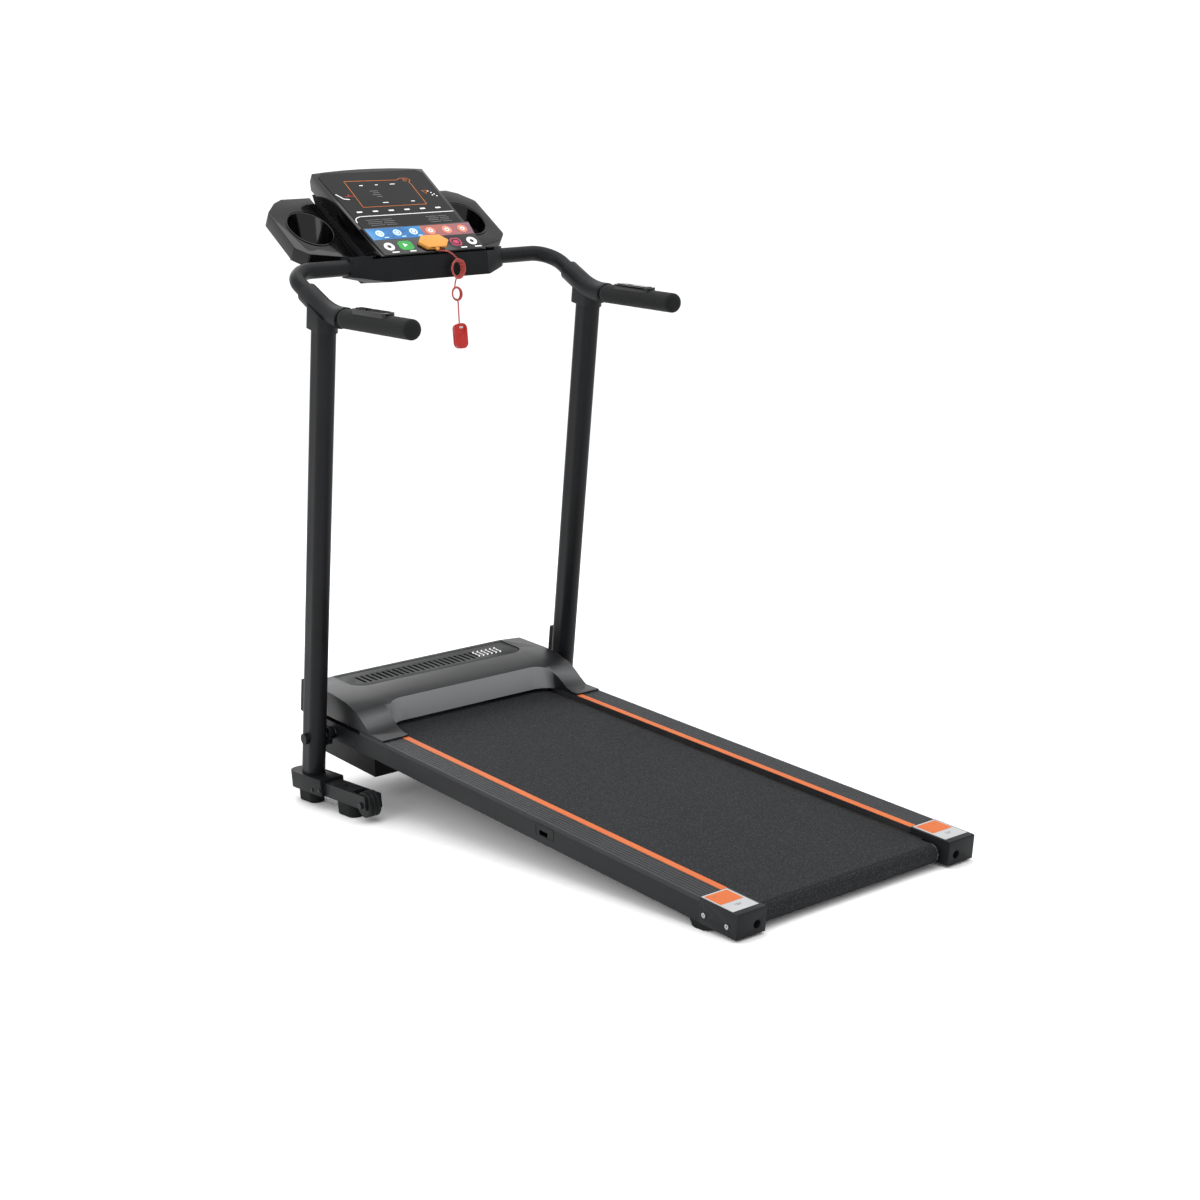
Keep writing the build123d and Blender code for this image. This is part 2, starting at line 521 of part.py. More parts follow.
for name, side in SIDES.items():
    route = [(side * x, y, z) for x, y, z in (GRIP_END, BAR_EXIT, BAR_BEND, BAR_CONSOLE)]
    with BuildPart() as handlebar:
        add(bar_body(route, BAR_R))
        add(bar_body(route, BAR_R - 2), mode=Mode.SUBTRACT)
    save(handlebar, f"handlebar_{name}")

    lobe_x = mirrored((290, 362), side)
    with BuildPart() as upright_space:
        with BuildSketch(UPRIGHT.offset(UPRIGHT_TOP - 70)):
            with Locations((side * UPRIGHT_X, 0)):
                SlotOverall(TUBE_Y + 0.4, TUBE_X + 0.4, rotation=90)
        extrude(amount=130)
        add(block(SLEEVE, lobe_x, (-90, 160), (-BAR_R - 0.9, 120)), mode=Mode.SUBTRACT)
    with BuildPart() as joint_cover:
        with BuildSketch(UPRIGHT.offset(UPRIGHT_TOP - 42)):
            with Locations((side * UPRIGHT_X, 6)):
                SlotOverall(TUBE_Y + 20, TUBE_X + 5, rotation=90)
        extrude(amount=100)
        add(block(SLEEVE, lobe_x, (-90, SLEEVE_S[1] + 60), (0, 120)), mode=Mode.SUBTRACT)
        add(block(SLEEVE, lobe_x, (-90, SLEEVE_S[0]), (-60, 120)), mode=Mode.SUBTRACT)
        add(sleeve_body(route, lobe_x))
        add(upright_space.part, mode=Mode.SUBTRACT)
        add(bar_body(route, BAR_R + 0.1), mode=Mode.SUBTRACT)
    save(joint_cover, f"joint_cover_{name}")

# ---- grips: foam over each bar's free end, with a bezel and two keys on top ----
BEZEL_LONG, BEZEL_W, BEZEL_TOP, POCKET_FLOOR = 118.0, 28.0, 24.5, 20.7
BEZEL_FROM_END = 130.0
KEY_W, KEY_UNDER, KEY_OVER, KEY_GAP = 16.0, 22.5, 26.0, 0.4
KEYS = {"front": (33, 38), "rear": (-22, 58)}        # centre along the bezel, length
bezels = []
for name, side in SIDES.items():
    route = [(side * x, y, z) for x, y, z in (GRIP_END, BAR_EXIT, BAR_BEND)]
    start, exit_point = Vector(*route[0]), Vector(*route[1])
    forward = (exit_point - start).normalized()
    with BuildPart() as grip:
        with BuildLine() as path:
            FilletPolyline(*route, radius=BEND_RADII[0])
        with BuildSketch(Plane(origin=path.line @ 0, z_dir=path.line % 0)):
            Circle(GRIP_R)
            Circle(BAR_R + 0.05, mode=Mode.SUBTRACT)
        sweep()
        add(block(SLEEVE, mirrored((280, 360), side), (SLEEVE_S[0] - 2, 400), (-200, 200)), mode=Mode.SUBTRACT)
        with BuildSketch(Plane(origin=start, z_dir=-forward)):
            Circle(GRIP_R)
        extrude(amount=10)
        fillet(grip.faces().sort_by(Axis.Y)[0].edges(), radius=8)
    save(grip, f"grip_{name}")

    middle = start + forward * BEZEL_FROM_END
    top_plane = Plane(origin=middle, x_dir=forward, z_dir=forward.cross(Vector(-1, 0, 0)))
    with BuildPart() as bezel:
        with BuildSketch(top_plane.offset(8)):
            RectangleRounded(BEZEL_LONG, BEZEL_W, 9)
        extrude(amount=BEZEL_TOP - 8)
        with BuildSketch(Plane(origin=start, z_dir=forward)):
            Circle(GRIP_R + 0.05)
        extrude(amount=300, mode=Mode.SUBTRACT)
        with BuildSketch(top_plane.offset(POCKET_FLOOR)):
            for centre, length in KEYS.values():
                with Locations((centre, 0)):
                    RectangleRounded(length + 2 * KEY_GAP, KEY_W + 2 * KEY_GAP, 3.4)
        extrude(amount=10, mode=Mode.SUBTRACT)
    bezels.append(bezel.part)
    for place, (centre, length) in KEYS.items():
        with BuildPart() as key:
            with BuildSketch(top_plane.offset(KEY_UNDER)):
                with Locations((centre, 0)):
                    RectangleRounded(length, KEY_W, 3)
            extrude(amount=KEY_OVER - KEY_UNDER)
        save(key, f"grip_key_{name}_{place}")
    print("grip key axis", name, -top_plane.z_dir)

with BuildPart() as key_bezels:
    for bezel_part in bezels:
        add(bezel_part)
save(key_bezels, "key_bezels")

# ---- console ----
def face_outline(frame, grow):
    """The sloped face seen square on: a little wider at the top, with an arched crown."""
    low, high, crown = 127 + grow, 138.5 + grow, 314 + grow
    with BuildSketch(frame) as sketch:
        with BuildLine():
            Line((-low, -70), (low, -70))
            Line((low, -70), (high, crown - 10))
            ThreePointArc((high, crown - 10), (0, crown), (-high, crown - 10))
            Line((-high, crown - 10), (-low, -70))
        make_face()
    return sketch.sketch


TOP_SIDE = [(0, 0), (314, 0), (314, -5), (300, -24), (292, -SHELL_DEEP), (0, -SHELL_DEEP)]
TOP_HOLLOW = [(3, -3), (302, -3), (292, -22), (284, -SHELL_DEEP - 1), (3, -SHELL_DEEP - 1)]
with BuildPart() as top_space:
    add(prism_x(FACE, TOP_HOLLOW, -150, 150))
    extrude(face_outline(FACE.offset(20), -WALL), amount=-200, mode=Mode.INTERSECT)
with BuildPart() as console_top_shell:
    add(prism_x(FACE, TOP_SIDE, -150, 150))
    extrude(face_outline(FACE.offset(20), 0), amount=-200, mode=Mode.INTERSECT)
    add(top_space.part, mode=Mode.SUBTRACT)
save(console_top_shell, "console_top_shell")

BASE_SIDE = [(466.5, 1143.3), (462, 1120), (462, 1096), (468, 1091), (560, 1091), (645, 1140), (700, 1235),
             (718, 1284), (487.6, 1116.4)]
BASE_HOLLOW = [(478, 1094), (558, 1094), (641, 1143), (696, 1238), (713, 1285), (487.6, 1117), (480, 1112)]
SKIRT = [(-188, 496), (-174, 482), (-120, 450), (120, 450), (174, 482), (188, 496), (188, 534), (-188, 534)]
SKIRT_HOLLOW = [(-184, 498), (-172, 486), (-119, 454), (119, 454), (172, 486), (184, 498), (184, 530), (-184, 530)]
SKIRT_Z = (1091, 1147)
LEDGE_Z = 1140               # ledge in front of the keypad


def end_rise(grow):
    """Room under the skirt's two ends, whose underside rises towards the handlebars."""
    with BuildPart() as body:
        for side in SIDES.values():
            with BuildSketch(Plane.XZ.offset(-560)):
                with BuildLine():
                    Polyline(*[(side * x, z + grow) for x, z in ((124, 1070), (196, 1070), (196, 1108), (124, 1091))],
                             close=True)
                make_face()
            extrude(amount=140)
    return body.part


with BuildPart() as skirt_space:
    with BuildSketch(Plane.XY.offset(SKIRT_Z[0] + 3)):
        with BuildLine():
            Polyline(*SKIRT_HOLLOW, close=True)
        make_face()
    extrude(amount=SKIRT_Z[1] - SKIRT_Z[0] - 6)
    add(end_rise(3), mode=Mode.SUBTRACT)
    add(prism_x(WORLD, [(400, LEDGE_Z - 3), (474, LEDGE_Z - 3), (474, 1160), (400, 1160)], -200, 200),
        mode=Mode.SUBTRACT)

with BuildPart() as console_base_shell:
    add(prism_x(WORLD, BASE_SIDE, -150, 150))
    extrude(face_outline(FACE.offset(20), 0), amount=-300, mode=Mode.INTERSECT)
    with BuildSketch(Plane.XY.offset(SKIRT_Z[0])):
        with BuildLine():
            Polyline(*SKIRT, close=True)
        make_face()
    extrude(amount=SKIRT_Z[1] - SKIRT_Z[0])
    add(end_rise(0), mode=Mode.SUBTRACT)
    add(block(FACE, (-139.5, 139.5), (-0.3, 400), (-SHELL_DEEP - 0.2, 50)), mode=Mode.SUBTRACT)
    add(prism_x(WORLD, BASE_HOLLOW, -124, 124), mode=Mode.SUBTRACT)
    add(skirt_space.part, mode=Mode.SUBTRACT)
    add(prism_x(WORLD, [(400, LEDGE_Z), (474, LEDGE_Z), (474, 1160), (400, 1160)], -150, 150), mode=Mode.SUBTRACT)
    add(bar(WORLD, BAR_CONSOLE[1], BAR_CONSOLE[2], -200, 200, BAR_R + 0.1), mode=Mode.SUBTRACT)
save(console_base_shell, "console_base_shell")

with BuildPart() as console_bracket:
    add(bar(WORLD, BAR_CONSOLE[1], BAR_CONSOLE[2], -172, 172, 6))
    for side in SIDES.values():
        plug = mirrored((BAR_CONSOLE[0] + 0.5, 172), side)
        add(bar(WORLD, BAR_CONSOLE[1], BAR_CONSOLE[2], *plug, BAR_R - 2.05))
    for x in (-90, 90):
        add(block(WORLD, (x - 12, x + 12), (500, 520), (1094.2, 1123)))
save(console_bracket, "console_bracket")

TRAY_OUTLINE = [(120, 68), (167, 74), (240, 92), (261, 116), (261, 244), (232, 276), (200, 294), (120, 304)]
CUP_X, CUP_V, CUP_R, CUP_FLOOR = 192.0, 180.0, 46.0, 1152.0
TRAY_BACK = 728.0
cup_y = FACE.from_local_coords((0, CUP_V, TRAY_TOP)).Y
for name, side in SIDES.items():
    outline = [(side * x, v) for x, v in TRAY_OUTLINE]
    cup_at = (side * CUP_X, cup_y)
    with BuildPart() as tray_hollow:
        with BuildSketch(FACE.offset(TRAY_TOP - WALL)):
            with BuildLine():
                Polyline(*outline, close=True)
            make_face()
            offset(amount=-WALL)
        extrude(amount=-TRAY_DEEP)
        add(block(WORLD, (-300, 300), (TRAY_BACK - WALL, 800), (1000, 1400)), mode=Mode.SUBTRACT)
    with BuildPart() as cup_wall:
        with BuildSketch(Plane.XY.offset(CUP_FLOOR - WALL)):
            with Locations(cup_at):
                Circle(CUP_R + WALL)
        extrude(amount=160)
        add(block(FACE, (-300, 300), (0, 400), (TRAY_TOP, 100)), mode=Mode.SUBTRACT)
    with BuildPart() as cup_tray:
        with BuildSketch(FACE.offset(TRAY_TOP)) as plan:
            with BuildLine():
                Polyline(*outline, close=True)
            make_face()
            fillet(plan.vertices().filter_by(lambda v: abs(v.X) > 236), radius=16)
        extrude(amount=-TRAY_DEEP)
        add(block(WORLD, (-300, 300), (TRAY_BACK, 800), (1000, 1400)), mode=Mode.SUBTRACT)
        add(tray_hollow.part, mode=Mode.SUBTRACT)
        add(cup_wall.part)
        with BuildSketch(Plane.XY.offset(CUP_FLOOR)):
            with Locations(cup_at):
                Circle(CUP_R)
        extrude(amount=160, mode=Mode.SUBTRACT)
        add(block(WORLD, (-188.3, 188.3), (440, 534.3), (1080, SKIRT_Z[1] + 0.3)), mode=Mode.SUBTRACT)
        extrude(face_outline(FACE.offset(20), 0.4), amount=-200, mode=Mode.SUBTRACT)
        add(bar(WORLD, BAR_CONSOLE[1], BAR_CONSOLE[2], *mirrored((186, 280), side), BAR_R + 0.6), mode=Mode.SUBTRACT)
    save(cup_tray, f"cup_tray_{name}")

with BuildPart() as display_panel:
    with BuildSketch(FACE):
        with BuildLine():
            Polyline((-123, 98), (123, 98), (131, 288), (118, 300), (-118, 300), (-131, 288), close=True)
        make_face()
    extrude(amount=1.2)
save(display_panel, "display_panel")

with BuildPart() as display_board:
    with BuildSketch(FACE.offset(-16)):
        with Locations((0, 205)):
            Rectangle(190, 130)
    extrude(amount=1.6)
    with BuildSketch(FACE.offset(-14.4)):
        with Locations((0, 215)):
            Rectangle(150, 84)
    extrude(amount=8)
save(display_board, "display_board")

KEYPAD_RISE = math.atan2(8.1, 85)
pad_angle = slope + KEYPAD_RISE
PAD = Plane(origin=FACE.from_local_coords((0, 1, 1.5)), x_dir=(1, 0, 0),
            z_dir=(0, -math.sin(pad_angle), math.cos(pad_angle)))
with BuildPart() as keypad_panel:
    add(prism_x(FACE, [(1, 0), (1, 1.5), (86, 9.6), (97, 0)], -140, 140))
    with BuildSketch(FACE.offset(20)):
        with BuildLine():
            Polyline((-121, 0), (121, 0), (132, 98), (-132, 98), close=True)
        make_face()
    extrude(amount=-40, mode=Mode.INTERSECT)
save(keypad_panel, "keypad_panel")

# ---- safety key with its lanyard ----
KEY_HALF, KEY_THICK, TAB_LONG = (37, 19), 9.0, 5.0
with BuildPart() as safety_key:
    with BuildSketch(PAD.offset(0.3)):
        with BuildLine():
            a, b = KEY_HALF
            corners = [(-a, 0), (-0.6 * a, b), (0.6 * a, b), (a, 0), (0.6 * a, -b), (-0.6 * a, -b)]
            Polyline(*[(KEY_X + u, KEY_V + v) for u, v in corners], close=True)
        make_face()
    extrude(amount=KEY_THICK)
    add(block(PAD, (KEY_X - 4, KEY_X + 4), (KEY_V - KEY_HALF[1] - TAB_LONG, KEY_V - KEY_HALF[1] + 1), (0.3, 6.3)))
save(safety_key, "safety_key")

CORD_R = 1.5
tab_end = PAD.from_local_coords((KEY_X, KEY_V - KEY_HALF[1] - TAB_LONG - 1.5, 3.3))
CORD_ROUTE = [(tab_end.X, tab_end.Y, tab_end.Z), (16, 451, 1147), (26, 442.5, 1140), (30.5, 440, 1127.5)]
TAIL_ROUTES = [[(31, 439, 1089.5), (28.5, 438.5, 1081), (27, 438.5, 1070)],
               [(26, 438.5, 1041.3), (27.5, 438, 1022), (27, 438.5, 994.8)]]


def corner_radii(points):
    """Each arc as large as its two runs allow: 0.45 of the shorter one over the tangent of half the turn."""
    radii = []
    for before, here, after in zip(points, points[1:], points[2:]):
        first, second = Vector(*here) - Vector(*before), Vector(*after) - Vector(*here)
        half = math.radians(first.get_angle(second)) / 2
        radii.append(0.45 * min(first.length, second.length) / math.tan(half))
    return radii


def cord_tube(points):
    radii = corner_radii(points)
    print("cord arc radii", [round(r, 1) for r in radii])
    with BuildPart() as tube:
        with BuildLine() as path:
            FilletPolyline(*points, radius=radii)
        with BuildSketch(Plane(origin=path.line @ 0, z_dir=path.line % 0)):
            Circle(CORD_R)
        sweep()
    length = sum(edge.length for edge in path.line.edges())
    print("cord length", round(length), "volume over section times length",
          round(tube.part.volume / (math.pi * CORD_R ** 2 * length), 3))
    return tube.part


with BuildPart() as key_cord:
    add(cord_tube(CORD_ROUTE))
save(key_cord, "key_cord")

with BuildPart() as cord_tail:
    for points in TAIL_ROUTES:
        add(cord_tube(points))
save(cord_tail, "cord_tail")

LOOPS = [((36, 439, 1108), 38, 37, 12), ((27, 438.5, 1055.5), 27, 28, 7)]    # middle, width, height, thickness
with BuildPart() as cord_bundle:
    for (x, y, z), width, height, thick in LOOPS:
        with BuildSketch(Plane(origin=(x, y - thick / 2, z), x_dir=(1, 0, 0), z_dir=(0, 1, 0))):
            Ellipse(width / 2, height / 2)
        extrude(amount=thick)
save(cord_bundle, "cord_bundle")

CLIP_AT, CLIP_W, CLIP_LONG, CLIP_THICK = (27, 438.5, 968), 31.0, 53.0, 11.0
with BuildPart() as cord_clip:
    with BuildSketch(Plane(origin=(CLIP_AT[0], CLIP_AT[1] - CLIP_THICK / 2, CLIP_AT[2]), x_dir=(1, 0, 0),
                           z_dir=(0, 1, 0))):
        RectangleRounded(CLIP_W, CLIP_LONG, 12)
    extrude(amount=CLIP_THICK)
    add(block(WORLD, (CLIP_AT[0] - 20, CLIP_AT[0] + 20), (CLIP_AT[1] - 1, CLIP_AT[1] + 1),
              (CLIP_AT[2] - 40, CLIP_AT[2] + 4)), mode=Mode.SUBTRACT)
save(cord_clip, "cord_clip")
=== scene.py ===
"""Looks for a folding home treadmill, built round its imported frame."""
import json
import math

import bmesh
import bpy
from mathutils import Matrix, Vector


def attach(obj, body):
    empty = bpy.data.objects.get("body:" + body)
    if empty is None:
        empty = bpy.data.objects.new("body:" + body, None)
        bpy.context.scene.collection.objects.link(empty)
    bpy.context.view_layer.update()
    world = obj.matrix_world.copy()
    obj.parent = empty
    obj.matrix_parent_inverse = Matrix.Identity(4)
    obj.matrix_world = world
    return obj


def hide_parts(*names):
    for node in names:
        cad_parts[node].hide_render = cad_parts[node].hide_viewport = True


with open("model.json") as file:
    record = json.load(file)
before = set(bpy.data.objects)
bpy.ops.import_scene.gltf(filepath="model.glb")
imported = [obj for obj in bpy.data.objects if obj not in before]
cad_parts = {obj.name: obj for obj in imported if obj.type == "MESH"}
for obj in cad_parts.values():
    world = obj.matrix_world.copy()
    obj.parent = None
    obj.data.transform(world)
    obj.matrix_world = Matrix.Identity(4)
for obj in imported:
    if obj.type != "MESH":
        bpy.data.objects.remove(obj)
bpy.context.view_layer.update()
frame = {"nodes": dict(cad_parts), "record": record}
NODES = frame["nodes"]

MM = 0.001


def plane(x, y, z, slope):
    """Working plane in millimetres: local X across, local Y up the slope, local Z out of its face."""
    turn = Matrix.Rotation(math.radians(slope), 4, "X")
    return Matrix.Translation(Vector((x, y, z)) * MM) @ turn @ Matrix.Scale(MM, 4)


DECK = plane(0, -719, 49.8, 5.6)         # rail tops: Y runs forward along the deck
FACE = plane(0, 467, 1144, 37)           # console's sloped face
PAD = plane(0, 466.9, 1145.8, 42.44)     # keypad's raised wedge
RAIL_OUT = 281           # outer face of a side frame, in the deck's own frame
LEFT_SIDE = DECK @ Matrix(((0, 0, -1, -RAIL_OUT), (1, 0, 0, 0), (0, 1, 0, 0), (0, 0, 0, 1)))
CLIP_FACE = plane(27, 433, 968, 90)      # side of the lanyard clip that faces the runner
CUP_X, CUP_V = 192, 180                  # cup well's middle, across and up the console's slope
TRAY_TOP = -50                           # cup tray's top, under the console's face

# ---------------------------------------------------------------- camera, then the lanyard
CAMERA_PLACE = (-2.2473, -3.0898, 1.1575)        # metres
CAMERA_YAW, CAMERA_PITCH, CAMERA_ROLL = 36.24, 10.48, 4.26
CAMERA_LENS, SENSOR_WIDTH = 59.27, 36.0


def place_camera():
    """Puts the camera behind the machine, to its left and turned slightly about its own line of sight."""
    yaw, pitch, roll = (math.radians(a) for a in (CAMERA_YAW, CAMERA_PITCH, CAMERA_ROLL))
    ahead = Vector((math.sin(yaw) * math.cos(pitch), math.cos(yaw) * math.cos(pitch), -math.sin(pitch)))
    level = Vector((math.cos(yaw), -math.sin(yaw), 0))
    upward = level.cross(ahead)
    right = level * math.cos(roll) - upward * math.sin(roll)
    top = level * math.sin(roll) + upward * math.cos(roll)
    data = bpy.data.cameras.new("studio_camera")
    data.sensor_width, data.lens = SENSOR_WIDTH, CAMERA_LENS
    camera = bpy.data.objects.new("studio_camera", data)
    facing = Matrix((right, top, -ahead)).transposed().to_4x4()
    camera.matrix_world = Matrix.Translation(CAMERA_PLACE) @ facing
    bpy.context.scene.collection.objects.link(camera)
    bpy.context.scene.camera = camera


place_camera()

CORD_D = 3.0                                                    # lanyard diameter, mm
UPPER_HANK, LOWER_HANK = (35, 439, 1107), (27, 438.5, 1056)     # hanks' middles
UPPER_TURNS, LOWER_TURNS = 4.4, 3.42


def hank_turns(middle, width, height, first, last, steps, spread, shrink):
    """Points of loose turns in an upright hank; each turn is a little smaller and sits beside the last."""
    points = []
    whole = math.radians(last - first)
    for i in range(steps + 1):
        share = i / steps
        angle = math.radians(first) + whole * share
        size = 1 - shrink * share + 0.04 * math.sin(2.3 * angle)
        points.append((middle[0] + width / 2 * size * math.cos(angle),
                       middle[1] + spread * (share - 0.5),
                       middle[2] + height / 2 * size * math.sin(angle)))
    return points


lanyard_route = [(7, 465.3, 1147.2), (16, 451, 1147), (26, 442.5, 1140), (33, 440, 1131), (40, 438.5, 1124)]
lanyard_route += hank_turns(UPPER_HANK, width=33, height=42, first=50, last=50 - 360 * UPPER_TURNS,
                            steps=60, spread=9.0, shrink=0.3)
lanyard_route += [(29, 440, 1085), (26, 439, 1080), (24, 438, 1074)]
lanyard_route += hank_turns(LOWER_HANK, width=25, height=31, first=120, last=120 + 360 * LOWER_TURNS,
                            steps=48, spread=5.0, shrink=0.25)
lanyard_route += [(29, 438.5, 1038), (28, 438.5, 1030), (27.5, 438, 1020), (27.2, 438.2, 1008),
                  (27, 438.5, 995)]


def lanyard_curve():
    """The lanyard as one round curve from the key's tab, through both hanks, to the clip."""
    data = bpy.data.curves.new("lanyard", "CURVE")
    data.dimensions, data.bevel_depth = "3D", CORD_D / 2 * MM
    data.bevel_resolution, data.resolution_u = 3, 6
    data.use_fill_caps = True
    spline = data.splines.new("NURBS")
    spline.points.add(len(lanyard_route) - 1)
    for point, place in zip(spline.points, lanyard_route):
        point.co = (*(Vector(place) * MM), 1)
    spline.order_u = 3
    spline.use_endpoint_u = True
    lanyard = bpy.data.objects.new("lanyard", data)
    bpy.context.scene.collection.objects.link(lanyard)
    return lanyard


# ---------------------------------------------------------------- materials
def linear(code):
    """An sRGB hex value as linear red, green, blue and full alpha."""
    parts = [int(code[i:i + 2], 16) / 255 for i in (1, 3, 5)]
    return [p / 12.92 if p <= 0.04045 else ((p + 0.055) / 1.055) ** 2.4 for p in parts] + [1.0]


def add_node(tree, kind, settings=None, **inputs):
    """Adds a node and sets or links its inputs, named with underscores for spaces, or i0, i1 by place."""
    node = tree.nodes.new(kind)
    for key, value in (settings or {}).items():
        setattr(node, key, value)
    for key, value in inputs.items():
        numbered = key[0] == "i" and key[1:].isdigit()
        socket = node.inputs[int(key[1:]) if numbered else key.replace("_", " ")]
        if isinstance(value, bpy.types.NodeSocket):
            tree.links.new(value, socket)
        else:
            socket.default_value = value
    return node


def new_material(name, **shader):
    """A material with a bare principled shader; returns its tree, shader and object coordinates."""
    material = bpy.data.materials.new(name)
    material.use_nodes = True
    tree = material.node_tree
    tree.nodes.clear()
    surface = add_node(tree, "ShaderNodeBsdfPrincipled", **shader)
    add_node(tree, "ShaderNodeOutputMaterial", Surface=surface.outputs[0])
    coords = add_node(tree, "ShaderNodeTexCoord").outputs["Object"]
    return material, tree, surface, coords


def ramp(tree, factor, stops):
    """A colour ramp: each stop is a place and either a hex colour or a grey level."""
    node = add_node(tree, "ShaderNodeValToRGB", Fac=factor)
    while len(node.color_ramp.elements) < len(stops):
        node.color_ramp.elements.new(0.5)
    for element, (place, colour) in zip(node.color_ramp.elements, stops):
        element.position = place
        element.color = linear(colour) if isinstance(colour, str) else (colour, colour, colour, 1)
    return node.outputs["Color"]


MATT_SPECULAR = 0.13      # reflection level of matt finishes, held down so blacks stay deep


DRIFT_MM = 111.1          # length of the slow change of tone over a moulding


def repeats(size_mm):
    """A texture's scale for a pattern whose cells have the given real size."""
    return 1000 / size_mm


def grained(name, dark, light, rough, grain_mm, depth_mm, **shader):
    """Moulded or coated surface: slow tone drift, a fine raised grain and uneven gloss."""
    shader.setdefault("Specular_IOR_Level", MATT_SPECULAR)
    material, tree, surface, coords = new_material(name, **shader)
    grain = add_node(tree, "ShaderNodeTexNoise", Vector=coords, Scale=repeats(grain_mm), Detail=2.0,
                     Roughness=0.55)
    drift = add_node(tree, "ShaderNodeTexNoise", Vector=coords, Scale=repeats(DRIFT_MM), Detail=3.0,
                     Roughness=0.6)
    mixed = add_node(tree, "ShaderNodeMath", {"operation": "MULTIPLY_ADD"}, i0=grain.outputs["Fac"],
                     i1=0.35, i2=drift.outputs["Fac"])
    colour = ramp(tree, mixed.outputs[0], [(0.45, dark), (0.85, light)])
    gloss = ramp(tree, drift.outputs["Fac"], [(0.3, rough[0]), (0.7, rough[1])])
    bump = add_node(tree, "ShaderNodeBump", Strength=0.6, Distance=depth_mm * MM,
                    Height=grain.outputs["Fac"])
    tree.links.new(colour, surface.inputs["Base Color"])
    tree.links.new(gloss, surface.inputs["Roughness"])
    tree.links.new(bump.outputs[0], surface.inputs["Normal"])
    return material


def brushed(name, dark, light, rough, stretch):
    """Turned or brushed metal: fine lines drawn out round or along the part."""
    line_mm = 4.545          # before it is drawn out by the stretch
    material, tree, surface, coords = new_material(name, Metallic=1.0, Anisotropic=0.4)
    drawn = add_node(tree, "ShaderNodeMapping", Vector=coords, Scale=stretch)
    lines = add_node(tree, "ShaderNodeTexNoise", Vector=drawn.outputs[0], Scale=repeats(line_mm), Detail=4.0,
                     Roughness=0.65)
    tree.links.new(ramp(tree, lines.outputs["Fac"], [(0.3, dark), (0.7, light)]),
                   surface.inputs["Base Color"])
    tree.links.new(ramp(tree, lines.outputs["Fac"], [(0.3, rough[0]), (0.7, rough[1])]),
                   surface.inputs["Roughness"])
    bump = add_node(tree, "ShaderNodeBump", Strength=0.3, Distance=0.00005, Height=lines.outputs["Fac"])
    tree.links.new(bump.outputs[0], surface.inputs["Normal"])
    return material


def belt_cover():
    """PVC-faced running belt: pressed diamonds on a dark weave, with pale flecks and a tone drift."""
    diamond_mm, fleck_mm, drift_mm = 3.03, 2.381, 312.5
    material, tree, surface, coords = new_material("pvc_belt_cover", Specular_IOR_Level=0.1)
    turned = add_node(tree, "ShaderNodeMapping", Vector=coords,
                      Rotation=(math.radians(-5.6), 0, math.radians(45)))
    cells = add_node(tree, "ShaderNodeTexVoronoi", {"feature": "F1", "distance": "CHEBYCHEV"},
                     Vector=turned.outputs[0], Scale=repeats(diamond_mm), Randomness=0.35)
    fleck = add_node(tree, "ShaderNodeTexNoise", Vector=coords, Scale=repeats(fleck_mm), Detail=3.0,
                     Roughness=0.7)
    drift = add_node(tree, "ShaderNodeTexNoise", Vector=coords, Scale=repeats(drift_mm), Detail=4.0,
                     Roughness=0.6)
    height = add_node(tree, "ShaderNodeMath", {"operation": "MULTIPLY_ADD"}, i0=fleck.outputs["Fac"],
                      i1=0.5, i2=cells.outputs["Distance"])
    base = ramp(tree, drift.outputs["Fac"], [(0.3, "#141517"), (0.7, "#1b1c1e")])
    specks = ramp(tree, height.outputs[0], [(0.25, "#0b0c0d"), (0.62, "#1e1f21"), (0.9, "#48494b")])
    colour = add_node(tree, "ShaderNodeMix", {"data_type": "RGBA", "blend_type": "MIX"}, i0=0.55, i6=base,
                      i7=specks)
    tree.links.new(colour.outputs[2], surface.inputs["Base Color"])
    tree.links.new(ramp(tree, fleck.outputs["Fac"], [(0.3, 0.62), (0.7, 0.82)]),
                   surface.inputs["Roughness"])
    bump = add_node(tree, "ShaderNodeBump", Strength=0.75, Distance=0.0005, Height=height.outputs[0])
    tree.links.new(bump.outputs[0], surface.inputs["Normal"])
    return material


STEP_FROM, STEP_TO = 0.43, 0.46          # where the painted reflection on the hood's step fades in, metres forward
